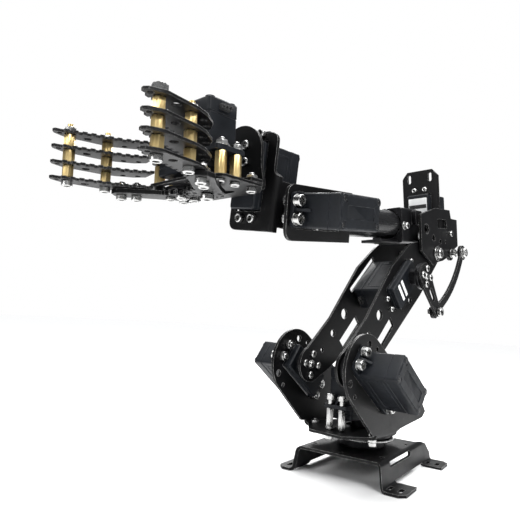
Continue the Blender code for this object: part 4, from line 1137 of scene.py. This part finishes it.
def hand_bracket():
    """Web on the wrist pitch horn, bent round to the plate that holds the wrist roll servo."""
    shape = bent([(-15, 21.5), (16.5, 21.5), (16.5, -12.5)], 2.5, -16, 44, "Z")
    plate = softened([(-12.5, -14.7), (30, -14.7), (30, 17), (19.3, 17), (19.3, 42.5),
                      (-12.5, 42.5)], 5)
    trims = (rectangle(-30, 15, 12.6, 60), rectangle(-30, -30, 12.6, -11.5))
    return cut(shape, *prisms(trims, 17, 30, "Y"), outside(plate, 10, 25, "X"),
               *prisms((circle(0, 0, 3.6, 32), *bolt_circle(7, 1.4)), 15, 30, "Y"),
               *prisms(servo_openings(*ROLL_AXIS, -math.pi / 2), 10, 25, "X"))


def gripper_back_plate():
    """L bracket: upright plate on the wrist roll horn and a foot that the deck bolts to."""
    back = BACK_PLATE + SHEET / 2
    shape = bent([(-11.5, -10.7), (back, -10.7), (back, 30)], 2, -30, 30, "Y")
    upright = [(-19, -14), (-19, -6), (-17, 3), *arc(0, GRIPPER_DROP, 17, 180, 0, 30), (17, 3),
               (19, -6), (19, -14)]
    plan = [(-40, -19), (-29.3, -19), (-20, -29.5), (-5, -29.5), (-5, 29.5), (-20, 29.5),
            (-29.3, 19), (-40, 19)]
    bolts = [circle(0, GRIPPER_DROP, 3.6, 32), *bolt_circle(7, 1.4, 0, GRIPPER_DROP)]
    return cut(shape, outside(upright, BACK_PLATE - 5, BACK_PLATE + SHEET + 0.8, "X"),
               outside(plan, -14, -8, "Z"), *prisms(bolts, -45, -20, "X"),
               *prisms(circles((-17, -24.5, 1.7), (-17, 24.5, 1.7)), -20, 0))


def gripper_deck():
    shape = softened([(-29.3, -19), (-20, -29.5), (7, -30), (14, -20), (14, 20), (7, 30),
                      (-20, 29.5), (-29.3, 19)], 3)
    bolts = ((x, y, 1.6) for x, y in product((-5, 5), (-24.75, 24.75)))
    holes = circles((0, -GEAR_RADIUS, 10.4, 56), (0, GEAR_RADIUS, 2.3, 36), *bolts,
                    (-17, -24.5, 1.7), (-17, 24.5, 1.7), (9, 5, 1.5))
    return prism(shape, *DECK_LEVELS, "Z", [*holes, slot(-18, 0, 20, 6, 90)])


def build_hand():
    place = place_of((0, PITCH_FACE - SERVO_TOP, 0), (0, -1, 0))
    horn("wrist_pitch_horn", "hand", place, 3.2)
    part("hand_bracket", hand_bracket(), "hand")
    place = place_of((HAND_FACE - GAP, *ROLL_AXIS), (1, 0, 0), (0, 0, -1))
    servo("wrist_roll_servo", "hand", place, "front")
    horn_screws("hand", 0, 20.5, 0, "-Y")
    place = place_of((HAND_FACE + SERVO_TOP - GRIPPER_REACH, 0, 0), (1, 0, 0))
    horn("wrist_roll_horn", "gripper", place, 3.2)
    part("gripper_back_plate", gripper_back_plate(), "deck")
    part("gripper_deck", gripper_deck(), "deck")
    servo("gripper_servo", "deck", place_of((0, -GEAR_RADIUS, GAP), (0, 0, -1), (0, 1, 0)))
    horn_screws("deck", BACK_PLATE + SHEET, 0, GRIPPER_DROP, "X")
    low = DECK_LEVELS[0]
    for x, fore in ((5, "front"), (-5, "rear")):
        for y, side in ((24.75, "left"), (-24.75, "right")):
            post = spacer(2.55, 11.7)
            post.transform(moved_by(x, y, -11.7))
            part(f"gripper_standoff_{fore}_{side}", post, "deck", "brass", None, 0)
            top = GAP + SERVO_FLANGE_THICK
            fasten_all("deck", (nut(2.75, 2.4, 1.5, 1.5), x, y, top, "Z", x + y),
                       (M3_LOW, x, y, low, "-Z", x))
    idler = threaded("Z", (socket_head(3.5, 3.1, 1.5), -18.7, "-"), (disc(2, 8), -18.8),
                     (disc(4.1, 0.6), -11.7), (nut(3.2, 1.8, 1.9, 0.35), -11.1))
    part("finger_idler_pin", idler, "deck", "steel", moved_by(0, GEAR_RADIUS, 0), 0)
    for y in (-24.5, 24.5):
        fasten_all("deck", (M3_HEAD, -17, y, low, "-Z", y), (M3_NUT, -17, y, -9.7, "Z", y))


# ---- fingers

def gear_arm(side, phase):
    """Gear segment about its pivot with a flat arm; the arm carries the finger."""
    root, tip = GEAR_RADIUS - 1.5, GEAR_RADIUS + 0.9
    pitch = math.tau / GEAR_TEETH
    shape = []
    for k in range(-4, 5):
        for offset, radius in ((-0.31, root), (-0.14, tip), (0.14, tip), (0.31, root)):
            angle = (phase + k + offset) * pitch - math.pi / 2
            shape.append((radius * math.cos(angle), radius * math.sin(angle)))
    shape += [(11.5, 3), (20, 11), (28.5, 19), (28.5, 24), (24, 28), (19, 27), (12.5, 20.5),
              (-2, 9.2), (-7, 6)]
    holes = circles((0, 0, 2.3, 36), (23.3, 22.5, 1.5), (17.3, 17.5, 1.5))
    holes += bolt_circle(6.4, 1.2)
    shape, *holes = ([(x, side * y) for x, y in points] for points in (shape, *holes))
    return prism(shape, *GEAR_LEVELS, "Z", holes)


def finger_plate(side, level):
    """Flat finger with a toothed inner edge, in its pivot's frame."""
    first, bend, last = Vector((15.5, 14.5)), Vector((28, 23.6)), Vector((57.5, 35.2))
    near, far = (bend - first).length, (last - bend).length
    outline = []
    for k in range(FINGER_TEETH):
        for share, depth in ((0.0, 0), (0.55, 0), (0.6, 1.7), (0.95, 1.7)):
            along = (k + share) * (near + far) / FINGER_TEETH
            start, run = (first, bend - first) if along < near else (bend, last - bend)
            run.normalize()
            travel = along if along < near else along - near
            outline.append(tuple(start + run * travel + Vector((-run.y, run.x)) * depth))
    outline += [(59.2, 37.2), (59.6, 39.2), (58.2, 41.2), (54.5, 42.6), (51, 43.6), (42, 42),
                (32, 40.4), (25.5, 37.9), (17, 31.9), (13.2, 26)]
    holes = circles(*((x, y, 1.95) for x, y in FINGER_COLUMNS.values()), (42, 37, 2, 30),
                    (56, 39, 1.3), (23.3, 32.5, 1.5), (17.3, 27.5, 1.5))
    outline, *holes = ([(x, side * (y - GEAR_RADIUS)) for x, y in points]
                       for points in (outline, *holes))
    return prism(outline, level - FINGER_THICK / 2, level + FINGER_THICK / 2, "Z", holes)


def finger_column(where, node, x, y, tall):
    """Rod with brass spacers between the plates, a nut on top and a cap screw underneath."""
    edge, low, high = FINGER_THICK / 2, FINGER_LEVELS[0], FINGER_LEVELS[-1]
    pieces = [(disc(1.5, high - low), spot(0, 0, low))]
    for k, (under, over) in enumerate(zip(FINGER_LEVELS, FINGER_LEVELS[1:])):
        tube = spacer(2.5, over - under - FINGER_THICK)
        pieces.append((tube, spot(0, 0, under + edge, "Z", 0.35 * k + x)))
    if not tall:
        pieces.append((disc(1.45, 1.9), spot(0, 0, high + edge + 2)))
    part(node, gathered(pieces), where, "brass", moved_by(x, y, 0), 0)
    top = nut(3.1, 3.8, 1.5, 0.5) if tall else nut(2.5, 2.2, 1.5, 0.3)
    fasten_all(where, (top, x, y, high + edge, "Z", x), (M3_HEAD, x, y, low - edge, "-Z", x))


def build_fingers():
    under = GEAR_LEVELS[0]
    for side, name in SIDES:
        pivot = f"finger_{name}"
        part(f"finger_gear_{name}", gear_arm(side, 0.0 if side > 0 else 0.5), pivot)
        for level, level_name in zip(FINGER_LEVELS, FINGER_NAMES):
            part(f"{pivot}_{level_name}", finger_plate(side, level), pivot)
        for end, (x, y) in FINGER_COLUMNS.items():
            tall = side > 0 and end == "front"
            finger_column(pivot, f"{pivot}_{end}_column", x, side * (y - GEAR_RADIUS), tall)
        top = FINGER_LEVELS[0] + FINGER_THICK / 2
        for x, y in ((23.3, side * 22.5), (17.3, side * 17.5)):
            fasten_all(pivot, (M3_HEAD, x, y, under, "-Z", x),
                       (nut(2.5, 2.0, 1.5, 0.8), x, y, top, "Z", x))
    place = place_of((0, 0, -SERVO_TOP), (0, 0, -1), (1, 0, 0))
    horn("finger_drive_horn", "finger_right", place, 15.5 - SERVO_TOP, 9.6, 2.0)
    horn_screws("finger_right", 0, 0, under, "-Z", 6.4)


def build_labels():
    """Blank paper label on the roll servo and two blank strips on the elbow servo's cover."""
    levels = (SERVO_TOP - 0.05, SERVO_TOP + 0.08)
    for x in (14.2, 20.0):
        blank = prism(softened(rectangle(x, -7.5, x + 3, 6.5), 0.3), *levels)
        fasten("upper_arm", elbow_servo_place(), blank, "sticker_white")
    place = place_of((ROLL_FLANGE - GAP, 0, TUBE_RISE), (1, 0, 0))
    paper = prism(softened(rectangle(10.5, -8.8, 26.5, 8.8), 0.6), *levels)
    fasten("elbow", place, paper, "sticker_white")
    band = prism(rectangle(17, -8.3, 20.5, 8.3), SERVO_TOP, SERVO_TOP + 0.12)
    fasten("elbow", place, band, "rubber_grey")


# ---- stage

FLOOR_HALF = 6.0  # metres
SKY_STRENGTH = 3.2
LAMPS = (  # name, place and size in metres, power in watts
    ("key", (0.35, 0.75, 0.85), 0.5, 9), ("fill", (0.95, -0.25, 0.45), 0.4, 3),
    ("rim", (-0.75, -0.45, 0.7), 0.4, 8), ("top", (0.05, 0.0, 1.1), 0.5, 8),
)
CAMERA_AT = (0.3656, 0.1511, 0.1042)
CAMERA_RIGHT = (-0.5633, 0.8241, 0.0599)
CAMERA_UP = (0.1347, 0.0200, 0.9907)
CAMERA_BACK = (0.8152, 0.5661, -0.1223)
CAMERA_LENS = 34.31
CAMERA_SENSOR = 36


def build_floor():
    """Pale floor under the arm."""
    nodes = Nodes("stage_floor")
    colour = nodes.mix(nodes.noise(3, 2), (0.86, 0.86, 0.86), (0.88, 0.88, 0.88))
    nodes.finish(colour, 0.7, 0.0)
    mesh = bpy.data.meshes.new("floor")
    corners = rectangle(-FLOOR_HALF, -FLOOR_HALF, FLOOR_HALF, FLOOR_HALF)
    mesh.from_pydata([(x, y, 0) for x, y in corners], [], [(0, 1, 2, 3)])
    mesh.materials.append(nodes.material)
    in_scene("floor", mesh)


def build_world():
    """White for the camera, and a dim cool light for everything else."""
    world = bpy.data.worlds.new("studio")
    world.use_nodes = True
    nodes, links = world.node_tree.nodes, world.node_tree.links
    dim, bright = nodes["Background"], nodes.new("ShaderNodeBackground")
    dim.inputs[0].default_value = (0.95, 0.97, 1.0, 1)
    dim.inputs[1].default_value = 0.2
    bright.inputs[0].default_value = (1, 1, 1, 1)
    path = nodes.new("ShaderNodeLightPath").outputs["Is Camera Ray"]
    either = nodes.new("ShaderNodeMixShader")
    for socket, source in enumerate((path, dim.outputs[0], bright.outputs[0])):
        links.new(source, either.inputs[socket])
    links.new(either.outputs[0], nodes["World Output"].inputs[0])
    bpy.context.scene.world = world
    bpy.context.scene.view_settings.view_transform = "Standard"


def build_lights():
    """Four soft lamps aimed at the arm and a wide even sun."""
    middle = (CAD_LOW + CAD_HIGH) / 2
    for name, place, size, power in LAMPS:
        light = bpy.data.lights.new(name, "AREA")
        light.size = size
        light.energy = power
        lamp = in_scene(name, light)
        lamp.location = place
        lamp.rotation_euler = (middle - Vector(place)).to_track_quat("-Z", "Y").to_euler()
    sky = bpy.data.lights.new("sky", "SUN")
    sky.energy = SKY_STRENGTH
    sky.angle = math.radians(75)
    in_scene("sky", sky).rotation_euler = (math.radians(12), math.radians(-14), 0)


def build_camera():
    lens = bpy.data.cameras.new("camera")
    lens.sensor_width = CAMERA_SENSOR
    lens.lens = CAMERA_LENS
    lens.clip_start = 0.01
    camera = in_scene("camera", lens)
    turn = basis(CAMERA_RIGHT, CAMERA_UP, CAMERA_BACK).to_quaternion().to_matrix().to_4x4()
    camera.matrix_world = Matrix.Translation(CAMERA_AT) @ turn
    bpy.context.scene.camera = camera


SERVO_CASE = servo_case()
build_base()
build_upper_arm()
build_linkage()
build_forearm()
build_hand()
build_fingers()
build_labels()
finish_lots()
build_floor()
build_world()
build_lights()
build_camera()
